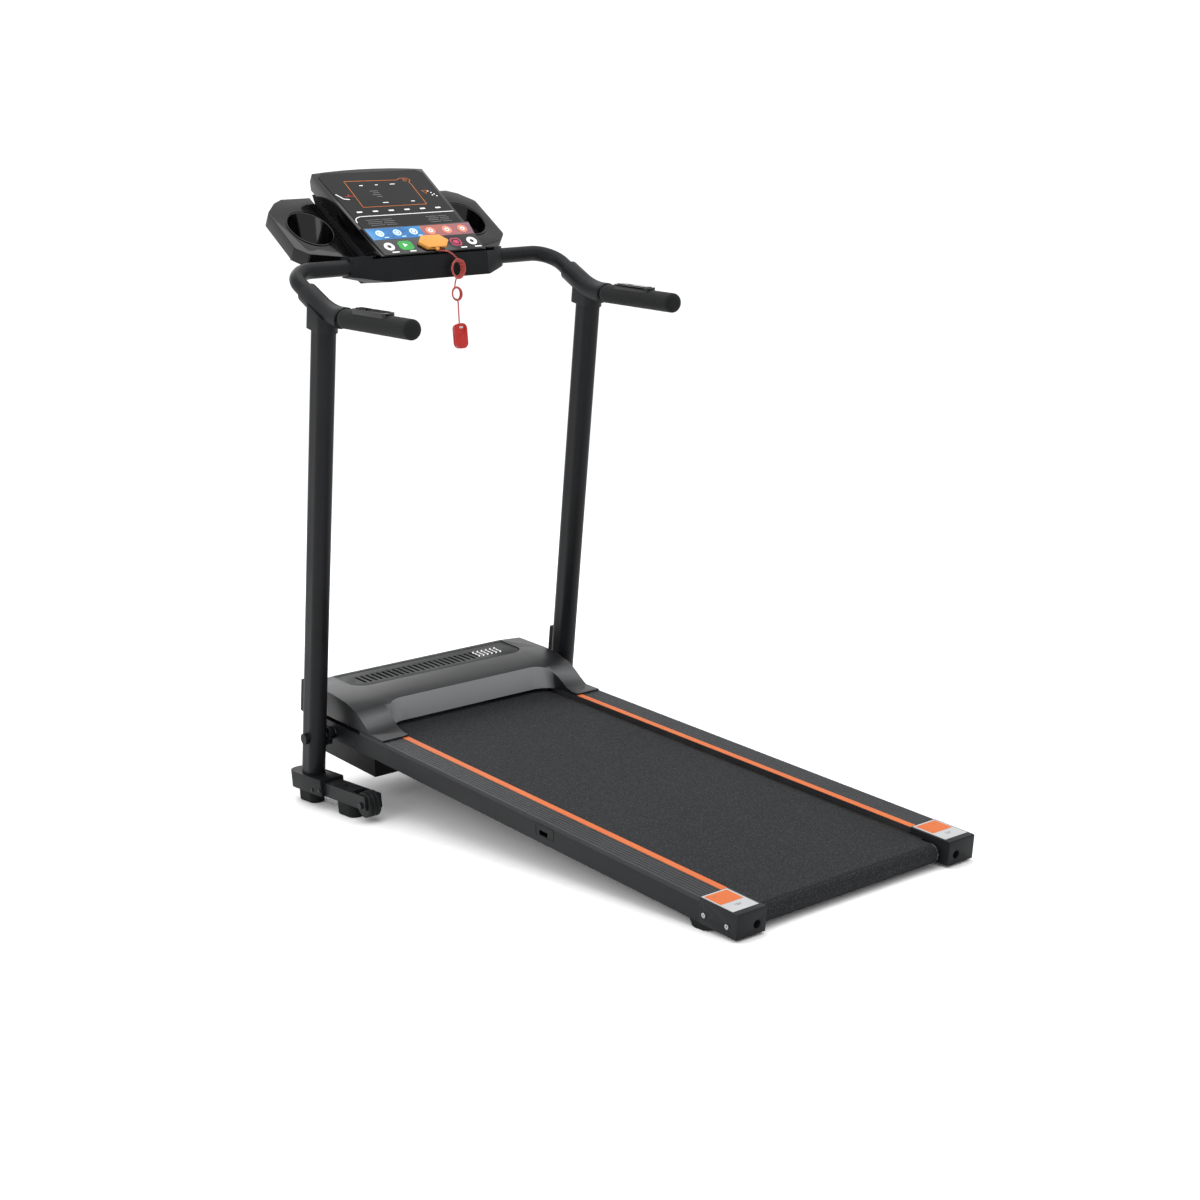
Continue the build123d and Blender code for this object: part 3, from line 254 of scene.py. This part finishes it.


def hood_moulding():
    """Satin ABS motor hood: near black, with a grey reflection painted on the rear-facing faces of its step
    over the belt.
    """
    grain_mm, drift_mm = 0.7143, 142.9
    material, tree, surface, coords = new_material("satin_abs_hood", Specular_IOR_Level=0.2,
                                                   Coat_Weight=0.06, Coat_Roughness=0.35)
    grain = add_node(tree, "ShaderNodeTexNoise", Vector=coords, Scale=repeats(grain_mm), Detail=2.0)
    drift = add_node(tree, "ShaderNodeTexNoise", Vector=coords, Scale=repeats(drift_mm), Detail=3.0)
    top = ramp(tree, drift.outputs["Fac"], [(0.3, "#121315"), (0.7, "#191a1c")])
    geometry = add_node(tree, "ShaderNodeNewGeometry")
    facing = add_node(tree, "ShaderNodeSeparateXYZ", Vector=geometry.outputs["Normal"])
    across = add_node(tree, "ShaderNodeSeparateXYZ", Vector=coords)
    flipped = add_node(tree, "ShaderNodeMath", {"operation": "MULTIPLY"}, i0=facing.outputs["Y"], i1=-1.0)
    # painted reflection: faces of the step turn grey the more they face rearward
    rearward = ramp(tree, flipped.outputs[0], [(0.45, 0.0), (0.8, 1.0)])
    placed = add_node(tree, "ShaderNodeMapRange", i0=across.outputs["Y"], i1=STEP_FROM, i2=STEP_TO)
    ahead = ramp(tree, placed.outputs[0], [(0.0, 0.0), (1.0, 1.0)])
    painted_reflection = add_node(tree, "ShaderNodeMath", {"operation": "MULTIPLY"}, i0=rearward, i1=ahead)
    colour = add_node(tree, "ShaderNodeMix", {"data_type": "RGBA"}, i0=painted_reflection.outputs[0], i6=top,
                      i7=linear("#77797b"))
    tree.links.new(colour.outputs[2], surface.inputs["Base Color"])
    tree.links.new(ramp(tree, drift.outputs["Fac"], [(0.3, 0.34), (0.7, 0.44)]),
                   surface.inputs["Roughness"])
    bump = add_node(tree, "ShaderNodeBump", Strength=0.35, Distance=0.00008, Height=grain.outputs["Fac"])
    tree.links.new(bump.outputs[0], surface.inputs["Normal"])
    return material


def braided_cord():
    """Red braided nylon: small slanting stitches with a soft sheen."""
    stitch_mm = 1.395        # from one slanting stitch to the next
    wave_band = 2 * math.pi / 10 / math.sqrt(3)      # spacing of a diagonal wave's bands at a scale of 1
    material, tree, surface, coords = new_material("braided_nylon_red", Sheen_Weight=0.4,
                                                   Sheen_Roughness=0.5, Roughness=0.6)
    slant = add_node(tree, "ShaderNodeTexWave", {"bands_direction": "DIAGONAL"}, Vector=coords,
                     Scale=wave_band * repeats(stitch_mm), Distortion=1.5, Detail=1.0)
    tree.links.new(ramp(tree, slant.outputs["Fac"], [(0.1, "#6d0d08"), (0.8, "#b62a1a")]),
                   surface.inputs["Base Color"])
    bump = add_node(tree, "ShaderNodeBump", Strength=0.6, Distance=0.0003, Height=slant.outputs["Fac"])
    tree.links.new(bump.outputs[0], surface.inputs["Normal"])
    return material


# a soft satin with faint speckle
powder_coat = grained("powder_coated_steel", "#111214", "#18191b", (0.36, 0.5), 1.1, 0.05)
# deep black with a fine grain
satin_moulding = grained("moulded_abs_black", "#0c0d0f", "#131416", (0.42, 0.55), 0.9, 0.06)
# charcoal, a shade lighter
cap_moulding = grained("moulded_abs_charcoal", "#131416", "#1b1c1e", (0.4, 0.52), 0.9, 0.05)
# dark grey ribs under the feet
rail_moulding = grained("ribbed_pvc_rail", "#222325", "#303133", (0.4, 0.55), 0.7, 0.05)
# dull panel that sets off its slots
vent_moulding = grained("textured_abs_vent", "#121315", "#1a1b1d", (0.42, 0.55), 0.8, 0.06)
# soft, matt and slightly pitted
foam = grained("closed_cell_foam", "#0d0e0f", "#141516", (0.72, 0.88), 1.3, 0.25, Sheen_Weight=0.04,
               Sheen_Roughness=0.6)
# flat black with no shine
soft_rubber = grained("moulded_rubber", "#0c0d0e", "#131415", (0.62, 0.78), 1.0, 0.1)
# hard black with a low sheen
wheel_moulding = grained("nylon_wheel", "#101112", "#191a1b", (0.38, 0.5), 0.8, 0.04)
# deep black with clear reflections
piano_black = grained("piano_black_abs", "#030304", "#060607", (0.12, 0.2), 2.5, 0.01, Coat_Weight=0.35,
                      Coat_Roughness=0.06)
# smooth dark glassy film
screen_black = grained("smoked_overlay", "#08080b", "#0d0d11", (0.1, 0.16), 3.0, 0.005, Coat_Weight=0.15,
                       Coat_Roughness=0.04)
# small bright glints on the keys
key_gloss = grained("glossy_abs_keys", "#0e0e10", "#161618", (0.14, 0.22), 2.0, 0.01, Coat_Weight=0.5,
                    Coat_Roughness=0.08)
# dark laminated board edge
fibreboard = grained("lacquered_fibreboard", "#1d1b19", "#2a2724", (0.4, 0.55), 2.0, 0.08)
# green board under the covers
circuit = grained("solder_mask_green", "#0c4a22", "#136a32", (0.3, 0.45), 3.0, 0.1)
# black glossy motor case
enamel = grained("black_enamel_motor", "#141416", "#1e1e20", (0.3, 0.4), 1.0, 0.02, Coat_Weight=0.3)
# small bright screw heads
zinc = brushed("zinc_plated_steel", "#8f9091", "#c4c5c4", (0.28, 0.45), (1, 1, 1))
# fine turned lines round a roller
turned_steel = brushed("turned_steel_roller", "#8a8a8a", "#b9b9b8", (0.25, 0.4), (0.05, 1, 1))
# dark bolts with a small glint
black_oxide = grained("black_oxide_steel", "#141516", "#222324", (0.25, 0.38), 1.0, 0.02)
# speckled near-black belt
belt_pvc = belt_cover()
# satin hood with a painted reflection on its step
hood_abs = hood_moulding()
# slanting stitches in two reds
red_braid = braided_cord()
# shiny red clip
red_gloss = grained("glossy_red_abs", "#8f0f0a", "#a81812", (0.18, 0.28), 2.0, 0.01, Coat_Weight=0.5,
                    Coat_Roughness=0.08)
# pale orange key
orange_matt = grained("pale_orange_abs", "#d18f45", "#dc9d54", (0.45, 0.6), 1.2, 0.05)
# flat bright stripe
orange_print = grained("orange_vinyl", "#bd5a26", "#c56631", (0.4, 0.5), 1.5, 0.02)
# crisp white marks
white_print = grained("white_screen_ink", "#dcdcdc", "#efefef", (0.45, 0.55), 1.0, 0.01)
# faint grey marks
grey_print = grained("grey_screen_ink", "#5a5a5c", "#6c6c6e", (0.45, 0.55), 1.0, 0.01)
# plain silver label
silver_print = grained("silver_foil_label", "#a4a6a8", "#b0b1b3", (0.3, 0.42), 1.5, 0.02)
# thin pale lines along the rib crests: painted highlights
rib_highlight_paint = grained("painted_rib_highlight", "#3d3e40", "#525355", (0.4, 0.55), 0.7, 0.02)
# thin amber outline
amber_print = grained("amber_screen_ink", "#b5622a", "#c97434", (0.35, 0.45), 1.5, 0.01)
# blue keypad zone
blue_film = grained("blue_keypad_film", "#12508c", "#2a80ba", (0.2, 0.3), 8.0, 0.01, Coat_Weight=0.5)
# pale icons on blue
sky_print = grained("sky_blue_ink", "#bfe2f2", "#dff2fa", (0.25, 0.35), 3.0, 0.01)
# rose keypad zone
rose_film = grained("rose_keypad_film", "#6d4f66", "#a35a4c", (0.2, 0.3), 12.0, 0.01, Coat_Weight=0.5)
# warm icons on rose
peach_print = grained("peach_ink", "#d8755a", "#e8907a", (0.25, 0.35), 3.0, 0.01)
# green start key
green_print = grained("green_key_ink", "#1f8a33", "#35a548", (0.2, 0.3), 4.0, 0.01, Coat_Weight=0.4)
# crimson stop key
stop_print = grained("crimson_key_ink", "#a32a4e", "#bd3d60", (0.2, 0.3), 4.0, 0.01, Coat_Weight=0.4)

NODE_FINISH = {
    powder_coat: ["side_frame_left", "side_frame_right", "cross_members", "upright_left", "upright_right",
                  "base_foot_left", "base_foot_right", "handlebar_left", "handlebar_right",
                  "console_bracket"],
    rail_moulding: ["foot_rail_left", "foot_rail_right"],
    cap_moulding: ["rear_cap_left", "rear_cap_right", "joint_cover_left", "joint_cover_right"],
    satin_moulding: ["belly_pan", "foot_end_caps", "upright_caps", "lock_knob", "console_base_shell"],
    zinc: ["deck_screws", "roller_axles", "pivot_shaft"], black_oxide: ["frame_bolts", "wheel_axles"],
    turned_steel: ["rear_roller", "front_roller", "motor_pulley"],
    soft_rubber: ["rear_feet", "foot_pads", "drive_belt"],
    wheel_moulding: ["wheel_left", "wheel_right"],
    belt_pvc: ["running_belt"], fibreboard: ["deck_board"],
    hood_abs: ["hood"], vent_moulding: ["vent_panel"],
    enamel: ["motor"], circuit: ["control_board", "display_board"], foam: ["grip_left", "grip_right"],
    key_gloss: ["key_bezels", "grip_key_left_front", "grip_key_left_rear", "grip_key_right_front",
                "grip_key_right_rear", "power_inlet", "rocker_switch", "keypad_panel"],
    piano_black: ["console_top_shell", "cup_tray_left", "cup_tray_right"], screen_black: ["display_panel"],
    orange_matt: ["safety_key"], red_gloss: ["cord_clip"],
    red_braid: ["key_cord", "cord_tail", "cord_bundle"],
}
BODY_OF = {node: body for body, nodes in frame["record"]["behaviour"]["bodies"].items() for node in nodes}
for finish, nodes in NODE_FINISH.items():
    for node in nodes:
        NODES[node].data.materials.clear()
        NODES[node].data.materials.append(finish)


# ---------------------------------------------------------------- making pieces
def finish_piece(name, bm, material, body, smooth_angle=35):
    """Turns a bmesh into a piece that rides on a body and takes a slot's finish."""
    mesh = bpy.data.meshes.new(name)
    bm.to_mesh(mesh)
    bm.free()
    mesh.materials.append(material)
    mesh.shade_smooth()
    mesh.set_sharp_from_angle(angle=math.radians(smooth_angle))
    piece = bpy.data.objects.new(name, mesh)
    bpy.context.scene.collection.objects.link(piece)
    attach(piece, body)
    return piece


WELD, FLAT_ANGLE, SHARP_ANGLE = 0.02 * MM, 1.5, 25       # weld distance, and angles between faces


def rounded_copy(node, material, width_mm, segments=2):
    """A CAD node's shape with its sharp edges rounded over, standing for the node."""
    bm = bmesh.new()
    bm.from_mesh(NODES[node].data)
    bmesh.ops.remove_doubles(bm, verts=bm.verts, dist=WELD)
    bmesh.ops.dissolve_limit(bm, angle_limit=math.radians(FLAT_ANGLE), verts=bm.verts, edges=bm.edges)
    sharp = math.radians(SHARP_ANGLE)
    edges = [e for e in bm.edges if len(e.link_faces) == 2 and e.calc_face_angle(0) > sharp]
    bmesh.ops.bevel(bm, geom=edges, offset=width_mm * MM, offset_type="OFFSET", segments=segments,
                    profile=0.5, affect="EDGES", clamp_overlap=True, material=-1)
    piece = finish_piece(node + "_moulding", bm, material, BODY_OF[node])
    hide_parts(node)
    return piece


def raise_flat(bm, place, points, low, high):
    """A flat outline in a working plane, given a thickness between two heights."""
    face = bm.faces.new([bm.verts.new(place @ Vector((x, y, low))) for x, y in points])
    grown = bmesh.ops.extrude_face_region(bm, geom=[face])
    lift = (place.to_3x3() @ Vector((0, 0, high - low)))
    bmesh.ops.translate(bm, verts=[v for v in grown["geom"] if isinstance(v, bmesh.types.BMVert)], vec=lift)


def outline_points(kind, x, y, width, height=None, turn=0.0, steps=20):
    """Corner points of a disc, bar or triangle."""
    height = height or width
    if kind == "disc":
        flat = [(width / 2 * math.cos(2 * math.pi * i / steps),
                 height / 2 * math.sin(2 * math.pi * i / steps)) for i in range(steps)]
    elif kind == "triangle":
        flat = [(-width / 2, height / 2), (0, -height / 2), (width / 2, height / 2)]
    else:
        c = min(width, height) * 0.22
        w, h = width / 2, height / 2
        flat = [(-w + c, -h), (w - c, -h), (w, -h + c), (w, h - c), (w - c, h), (-w + c, h), (-w, h - c),
                (-w, -h + c)]
    a = math.radians(turn)
    return [(x + u * math.cos(a) - v * math.sin(a), y + u * math.sin(a) + v * math.cos(a)) for u, v in flat]


def raise_ring(bm, place, points, band, low, high):
    """A closed band drawn along an outline, just inside it."""
    middle = [sum(p[k] for p in points) / len(points) for k in (0, 1)]
    reach = max(math.dist(p, middle) for p in points)
    inner = [tuple(middle[k] + (p[k] - middle[k]) * (1 - band / reach) for k in (0, 1)) for p in points]
    rims = [[bm.verts.new(place @ Vector((x, y, z))) for x, y in line]
            for line in (points, inner) for z in (low, high)]
    outer_low, outer_high, inner_low, inner_high = rims
    for i in range(len(points)):
        k = (i + 1) % len(points)
        for a, b in ((outer_low, outer_high), (outer_high, inner_high), (inner_high, inner_low),
                     (inner_low, outer_low)):
            bm.faces.new((a[i], a[k], b[k], b[i]))


def raise_line(bm, place, points, width, low, high):
    """A drawn line as short overlapping bars with round-cornered ends."""
    for (x0, y0), (x1, y1) in zip(points, points[1:]):
        length, turn = math.hypot(x1 - x0, y1 - y0), math.degrees(math.atan2(y1 - y0, x1 - x0))
        bar = outline_points("bar", (x0 + x1) / 2, (y0 + y1) / 2, length + width * 0.8, width, turn)
        raise_flat(bm, place, bar, low, high)


def printed(name, material, body, draw):
    """A piece of print or trim, drawn into a fresh mesh by the function given."""
    bm = bmesh.new()
    draw(bm)
    bmesh.ops.recalc_face_normals(bm, faces=bm.faces)
    return finish_piece(name, bm, material, body)


# ---------------------------------------------------------------- softened housings
SOFTENED = {     # node: width of its rounded edges in mm, and their segments
    "hood": (4.0, 3), "vent_panel": (0.8, 2),
    "console_top_shell": (3.5, 3), "console_base_shell": (4.0, 3),
    "cup_tray_left": (3.5, 4), "cup_tray_right": (3.5, 4),
    "rear_cap_left": (2.5, 3), "rear_cap_right": (2.5, 3),
    "safety_key": (2.2, 3), "cord_clip": (1.8, 3), "keypad_panel": (1.5, 2), "foot_end_caps": (5.0, 4),
    "joint_cover_left": (2.6, 3), "joint_cover_right": (2.6, 3),
    "lock_knob": (1.5, 2), "key_bezels": (1.0, 2),
    "wheel_left": (1.2, 2), "wheel_right": (1.2, 2)}
for node, (width, segments) in SOFTENED.items():
    rounded_copy(node, NODES[node].data.materials[0], width, segments)

# ---------------------------------------------------------------- lanyard
lanyard = lanyard_curve()
lanyard.data.materials.append(red_braid)
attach(lanyard, "safety_key")
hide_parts("key_cord", "cord_tail", "cord_bundle")


def clip_marks(bm):
    raise_flat(bm, CLIP_FACE, outline_points("bar", 0, 18, 9, 4), 0.0, 0.25)


def clip_flap(bm):
    raise_line(bm, CLIP_FACE, [(-12, -6), (-6, 3), (8, 5), (13, 0)], 1.2, 0.0, 0.5)


printed("clip_slot_mark", silver_print, "safety_key", clip_marks)
printed("clip_flap_edge", red_gloss, "safety_key", clip_flap)

# ---------------------------------------------------------------- foam grips
GRIP_ROUTE = [(312, 77, 1008), (314, 140, 1014.5), (316.6, 222, 1023), (319.2, 304.5, 1031.55)]
GRIP_R, BORE_R = 20.0, 16.65
RING_POINTS, DOME_LONG, DOME_RINGS, DOME_TIP = 36, 10, 9, 0.35
UNEVEN, RINGS_PER_STRETCH = 0.1, 8       # the foam's slight waviness in mm, and rings between route points
MOUTH = ((1.2, 0.8), (1.6, 1.8), (1.4, GRIP_R - BORE_R))     # past the end and in from the skin, mm


def foam_grip(name, side):
    """Foam sleeve swept along the bar's end: domed at the free end, softly rolled at its mouth."""
    def station(bm, ring, centre, heading, radius):
        turn = Vector((0, 0, 1)).rotation_difference(heading).to_matrix()
        for i, v in enumerate(ring):
            a = 2 * math.pi * i / len(ring)
            v.co = centre + turn @ Vector((radius * math.cos(a), radius * math.sin(a), 0))

    bm = bmesh.new()
    points = [Vector((side * x, y, z)) * MM for x, y, z in GRIP_ROUTE]
    forward = (points[1] - points[0]).normalized()
    profile = []
    for i in range(1, DOME_RINGS + 1):
        a = math.pi / 2 * i / DOME_RINGS
        profile.append((points[0] - forward * DOME_LONG * MM * math.cos(a), forward,
                        GRIP_R * MM * (DOME_TIP + (1 - DOME_TIP) * math.sin(a))))
    for i, here in enumerate(points):
        if i:
            back = points[i - 1]
            heading = (here - back).normalized()
            for k in range(1, RINGS_PER_STRETCH + 1):
                radius = (GRIP_R + UNEVEN * math.sin(k * 2.1 + i)) * MM
                profile.append((back.lerp(here, k / RINGS_PER_STRETCH), heading, radius))
    last, heading = profile[-1][0], profile[-1][1]
    profile += [(last + heading * past * MM, heading, (GRIP_R - inward) * MM) for past, inward in MOUTH]
    ring = bmesh.ops.create_circle(bm, cap_ends=True, segments=RING_POINTS, radius=0.001)["verts"]
    bmesh.ops.reverse_faces(bm, faces=bm.faces)
    station(bm, ring, *profile[0])
    edges = list({e for v in ring for e in v.link_edges})
    for place in profile[1:]:
        grown = bmesh.ops.extrude_edge_only(bm, edges=edges)["geom"]
        ring = [v for v in grown if isinstance(v, bmesh.types.BMVert)]
        edges = [e for e in grown if isinstance(e, bmesh.types.BMEdge) and all(v in ring for v in e.verts)]
        station(bm, ring, *place)
    bmesh.ops.holes_fill(bm, edges=edges, sides=0)
    bmesh.ops.recalc_face_normals(bm, faces=bm.faces)
    grip = finish_piece(name, bm, foam, "stand", 60)
    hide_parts(name.replace("foam_", ""))


for side_name, side in (("left", -1), ("right", 1)):
    foam_grip("foam_grip_" + side_name, side)


# ---------------------------------------------------------------- deck trim
STRIPE_IN, STRIPE_OUT = 219, 233         # orange stripe's edges across the deck
STRIPE_FROM, STRIPE_TO = 95, 1111        # ... and its ends along it
RIBS, FIRST_RIB, RIB_STEP, RIB_HALF = 7, 236, 7, 0.5
CAP_TOP = 0.6                            # rear caps' top face
VENT_STRIPES, FIRST_STRIPE, STRIPE_STEP = 6, 116, 11.5


def rails_and_caps():
    """Stripes and painted highlight lines on the rib crests of the rails, labels on the rear caps, a port
    plate and the hood's stripes.
    """
    def stripes(bm):
        for side in (-1, 1):
            corners = [(STRIPE_IN, STRIPE_FROM), (STRIPE_IN, STRIPE_TO), (STRIPE_OUT, STRIPE_TO),
                       (STRIPE_OUT, STRIPE_FROM)]
            raise_flat(bm, DECK, [(side * x, s) for x, s in corners], 0.0, 0.5)
    printed("rail_stripes", orange_print, "deck", stripes)

    # pale strips along the rib crests: painted highlights where light catches them
    def ribs(bm):
        for side in (-1, 1):
            for i in range(RIBS):
                x = side * (FIRST_RIB + RIB_STEP * i)
                corners = [(x - RIB_HALF, 96), (x - RIB_HALF, 1110), (x + RIB_HALF, 1110),
                           (x + RIB_HALF, 96)]
                raise_flat(bm, DECK, corners, -0.3, 0.25)
    printed("rail_rib_highlights", rib_highlight_paint, "deck", ribs)

    def port(bm):
        outline = [(512, -32), (566, -32), (568, -30), (568, -14), (560, -9), (514, -9), (510, -13),
                   (510, -30)]
        raise_ring(bm, LEFT_SIDE, outline, 1.6, 0.0, 0.5)
    printed("port_plate_edge", cap_moulding, "deck", port)

    def foil(bm):
        for side in (-1, 1):
            corners = ((222, 12), (279, 12), (279, 93), (222, 93))
            raise_flat(bm, DECK, [(side * x, s) for x, s in corners], CAP_TOP, 0.9)
    printed("cap_labels_silver", silver_print, "deck", foil)

    def patch(bm):
        for side in (-1, 1):
            corners = ((226, 46), (276, 46), (276, 89), (226, 89))
            raise_flat(bm, DECK, [(side * x, s) for x, s in corners], 0.9, 1.1)
    printed("cap_labels_orange", orange_print, "deck", patch)

    def marks(bm):
        for side in (-1, 1):
            for i, length in enumerate((12, 8)):
                ends = [(side * 250 + end * length / 2, 34 - 4 * i) for end in (-1, 1)]
                raise_line(bm, DECK, ends, 1.4, 0.9, 1.05)
            raise_ring(bm, DECK, outline_points("triangle", side * 262, 76, 7, 6), 0.8, 1.1, 1.2)
    printed("cap_label_marks", grey_print, "deck", marks)

    def hood_marks(bm):
        wave = [(-5, 1336), (1, 1343), (-1, 1352), (1, 1361), (-1, 1368), (5, 1375)]
        for i in range(VENT_STRIPES):
            x = FIRST_STRIPE + STRIPE_STEP * i
            raise_line(bm, DECK, [(x + dx, s) for dx, s in wave], 3.0, 59.4, 59.7)
    printed("hood_stripes", white_print, "deck", hood_marks)


rails_and_caps()


# ---------------------------------------------------------------- console print
OVERLAY_TOP, PAD_FILM = 1.2, 0.05        # the overlay's and the keypad film's own faces, mm
THIN_INK, INK, THICK_INK = 0.2, 0.25, 0.3
KEY_RISE = 0.5                           # start key's own thickness
BLUE_ICONS, ROSE_ICONS = (-100, -58, -18), (24, 65, 104)


def console_print():
    """Everything printed on the display overlay and the keypad; words are left as plain bars."""
    top, pad = OVERLAY_TOP, PAD_FILM
    film = pad + THICK_INK       # top of the two coloured zones

    def window(bm):
        outline = [(-79, 268), (52, 264), (60, 270), (76, 270), (84, 262), (76, 254), (78, 246), (75, 170),
                   (-82, 171), (-79, 268)]
        raise_line(bm, FACE, outline, 1.3, top, top + THICK_INK)
        raise_ring(bm, FACE, outline_points("triangle", 96, 214, 15, 13), 1.8, top, top + INK)
        raise_ring(bm, FACE, outline_points("disc", 70, 262, 9), 1.2, top, top + INK)
    printed("display_outline", amber_print, "stand", window)

    def labels(bm):
        for i in range(6):
            raise_flat(bm, FACE, outline_points("bar", -100 + 39 * i, 155, 13, 4.5), top, top + INK)
        for x, v, w in ((-46, 250, 9), (-8, 250, 7), (32, 250, 12), (-20, 184, 14), (48, 184, 9)):
            raise_flat(bm, FACE, outline_points("bar", x, v, w, 2.6), top, top + INK)
        raise_line(bm, FACE, [(125, 139), (-106, 139), (-116, 136), (-123, 129), (-125, 118)], 2.2, top,
                   top + INK)
        raise_line(bm, FACE, [(-122, 222), (-117, 214), (-112, 205), (-100, 202)], 3.0, top, top + INK)
        for x, v in ((104, 217), (109, 211), (114, 205), (117, 198), (108, 202)):
            raise_flat(bm, FACE, outline_points("disc", x, v, 3.6), top, top + INK)
    printed("display_labels", white_print, "stand", labels)

    def small_rows(bm):
        for x, v, w in ((-26, 228, 20), (-24, 221, 16), (-26, 214, 20), (-22, 207, 14)):
            raise_flat(bm, FACE, outline_points("bar", x, v, w, 2.2), top, top + THIN_INK)
        for k in range(4):
            for x, w in ((-84, 34), (-50, 26), (60, 26), (88, 22)):
                raise_flat(bm, FACE, outline_points("bar", x + 3 * (k % 2), 125 - 6.5 * k, w, 2.0), top,
                           top + THIN_INK)
    printed("display_small_rows", grey_print, "stand", small_rows)

    def red_mark(bm):
        raise_line(bm, FACE, [(-104, 213), (-92, 213), (-82, 213)], 1.8, top, top + INK)
        raise_flat(bm, FACE, outline_points("triangle", -94, 218, 7, 6, 180), top, top + INK)
    printed("display_red_mark", red_gloss, "stand", red_mark)

    def rims(bm):
        for side in (-1, 1):
            outline = outline_points("disc", side * CUP_X, CUP_V, 101, 127, steps=64)
            raise_ring(bm, FACE, outline, 3.4, TRAY_TOP, TRAY_TOP + 1.4)
    printed("cup_well_rims", piano_black, "stand", rims)

    def blue(bm):
        raise_flat(bm, PAD, [(-124, 47), (3, 47), (3, 82), (-129, 82)], pad, pad + THICK_INK)
    printed("keypad_blue_zone", blue_film, "stand", blue)

    def rose(bm):
        raise_flat(bm, PAD, [(3.2, 47), (124, 47), (129, 82), (3.2, 82)], pad, pad + THICK_INK)
    printed("keypad_rose_zone", rose_film, "stand", rose)

    def blue_icons(bm):
        for x in BLUE_ICONS:
            raise_ring(bm, PAD, outline_points("disc", x, 66, 19), 3.4, film, film + THIN_INK)
            raise_flat(bm, PAD, outline_points("disc", x, 66, 8), film, film + THIN_INK)
            raise_line(bm, PAD, [(x + 6, 53), (x + 15, 53)], 2.0, film, film + THIN_INK)
    printed("keypad_blue_icons", sky_print, "stand", blue_icons)

    def rose_icons(bm):
        for x in ROSE_ICONS:
            raise_ring(bm, PAD, outline_points("disc", x, 65, 23), 6.0, film, film + THIN_INK)
    printed("keypad_rose_icons", peach_print, "stand", rose_icons)

    def white_marks(bm):
        for x in ROSE_ICONS:
            raise_ring(bm, PAD, outline_points("disc", x, 65, 11), 3.0, film, film + INK)
        for x in (-98, 106):
            raise_ring(bm, PAD, outline_points("disc", x, 25, 24), 7.0, pad, pad + THICK_INK)
        for x, w in ((-94, 12), (-52, 10), (74, 10), (110, 12)):
            raise_flat(bm, PAD, outline_points("bar", x + 3, 7, w + 5, 3.2), pad, pad + INK)
        raise_flat(bm, PAD, outline_points("triangle", -58, 26, 11, 10, 90), pad + KEY_RISE,
                   pad + KEY_RISE + THIN_INK)
    printed("keypad_white_marks", white_print, "stand", white_marks)

    def start_key(bm):
        raise_flat(bm, PAD, outline_points("bar", -58, 25, 34, 28), pad, pad + KEY_RISE)
    printed("keypad_start_key", green_print, "stand", start_key)

    def stop_key(bm):
        raise_ring(bm, PAD, outline_points("bar", 66, 25, 26, 24), 3.5, pad, pad + THICK_INK)
        raise_flat(bm, PAD, outline_points("bar", 66, 25, 13, 11), pad, pad + THICK_INK)
    printed("keypad_stop_key", stop_print, "stand", stop_key)


console_print()

# ---------------------------------------------------------------- floor and lights
FLOOR_HALF, WORLD_STRENGTH = 30, 1.12
LAMPS = {        # place and aim in metres, size in metres, power in watts
    "overhead_bank": ((0.2, -0.2, 4.2), (0, 0, 0.2), 3.5, 75),
    "left_bank": ((-4.2, -1.0, 2.6), (0, 0, 0.6), 2.2, 40),
    "rear_bank": ((1.0, 4.2, 3.0), (0, 0.4, 0.8), 2.5, 45)}


def studio():
    """A white paper floor that runs out into a white world, and three soft lamps."""
    bm = bmesh.new()
    bmesh.ops.create_grid(bm, x_segments=1, y_segments=1, size=FLOOR_HALF)
    mesh = bpy.data.meshes.new("studio_floor")
    bm.to_mesh(mesh)
    bm.free()
    floor = bpy.data.objects.new("studio_floor", mesh)
    bpy.context.scene.collection.objects.link(floor)
    paper, tree, surface, coords = new_material("seamless_paper", Roughness=0.9)
    fibre = add_node(tree, "ShaderNodeTexNoise", Vector=coords, Scale=repeats(25), Detail=2.0)
    tree.links.new(ramp(tree, fibre.outputs["Fac"], [(0.3, "#fbfbfb"), (0.7, "#fefefe")]),
                   surface.inputs["Base Color"])
    mesh.materials.append(paper)
    world = bpy.data.worlds.new("studio_world")
    world.use_nodes = True
    background = world.node_tree.nodes["Background"]
    background.inputs["Color"].default_value = (1, 1, 1, 1)
    background.inputs["Strength"].default_value = WORLD_STRENGTH
    bpy.context.scene.world = world
    for name, (place, aim, size, power) in LAMPS.items():
        data = bpy.data.lights.new(name, "AREA")
        data.size, data.energy = size, power
        lamp = bpy.data.objects.new(name, data)
        lamp.location = place
        lamp.rotation_euler = (Vector(aim) - Vector(place)).to_track_quat("-Z", "Y").to_euler()
        bpy.context.scene.collection.objects.link(lamp)
    bpy.context.scene.view_settings.view_transform = "Standard"


studio()
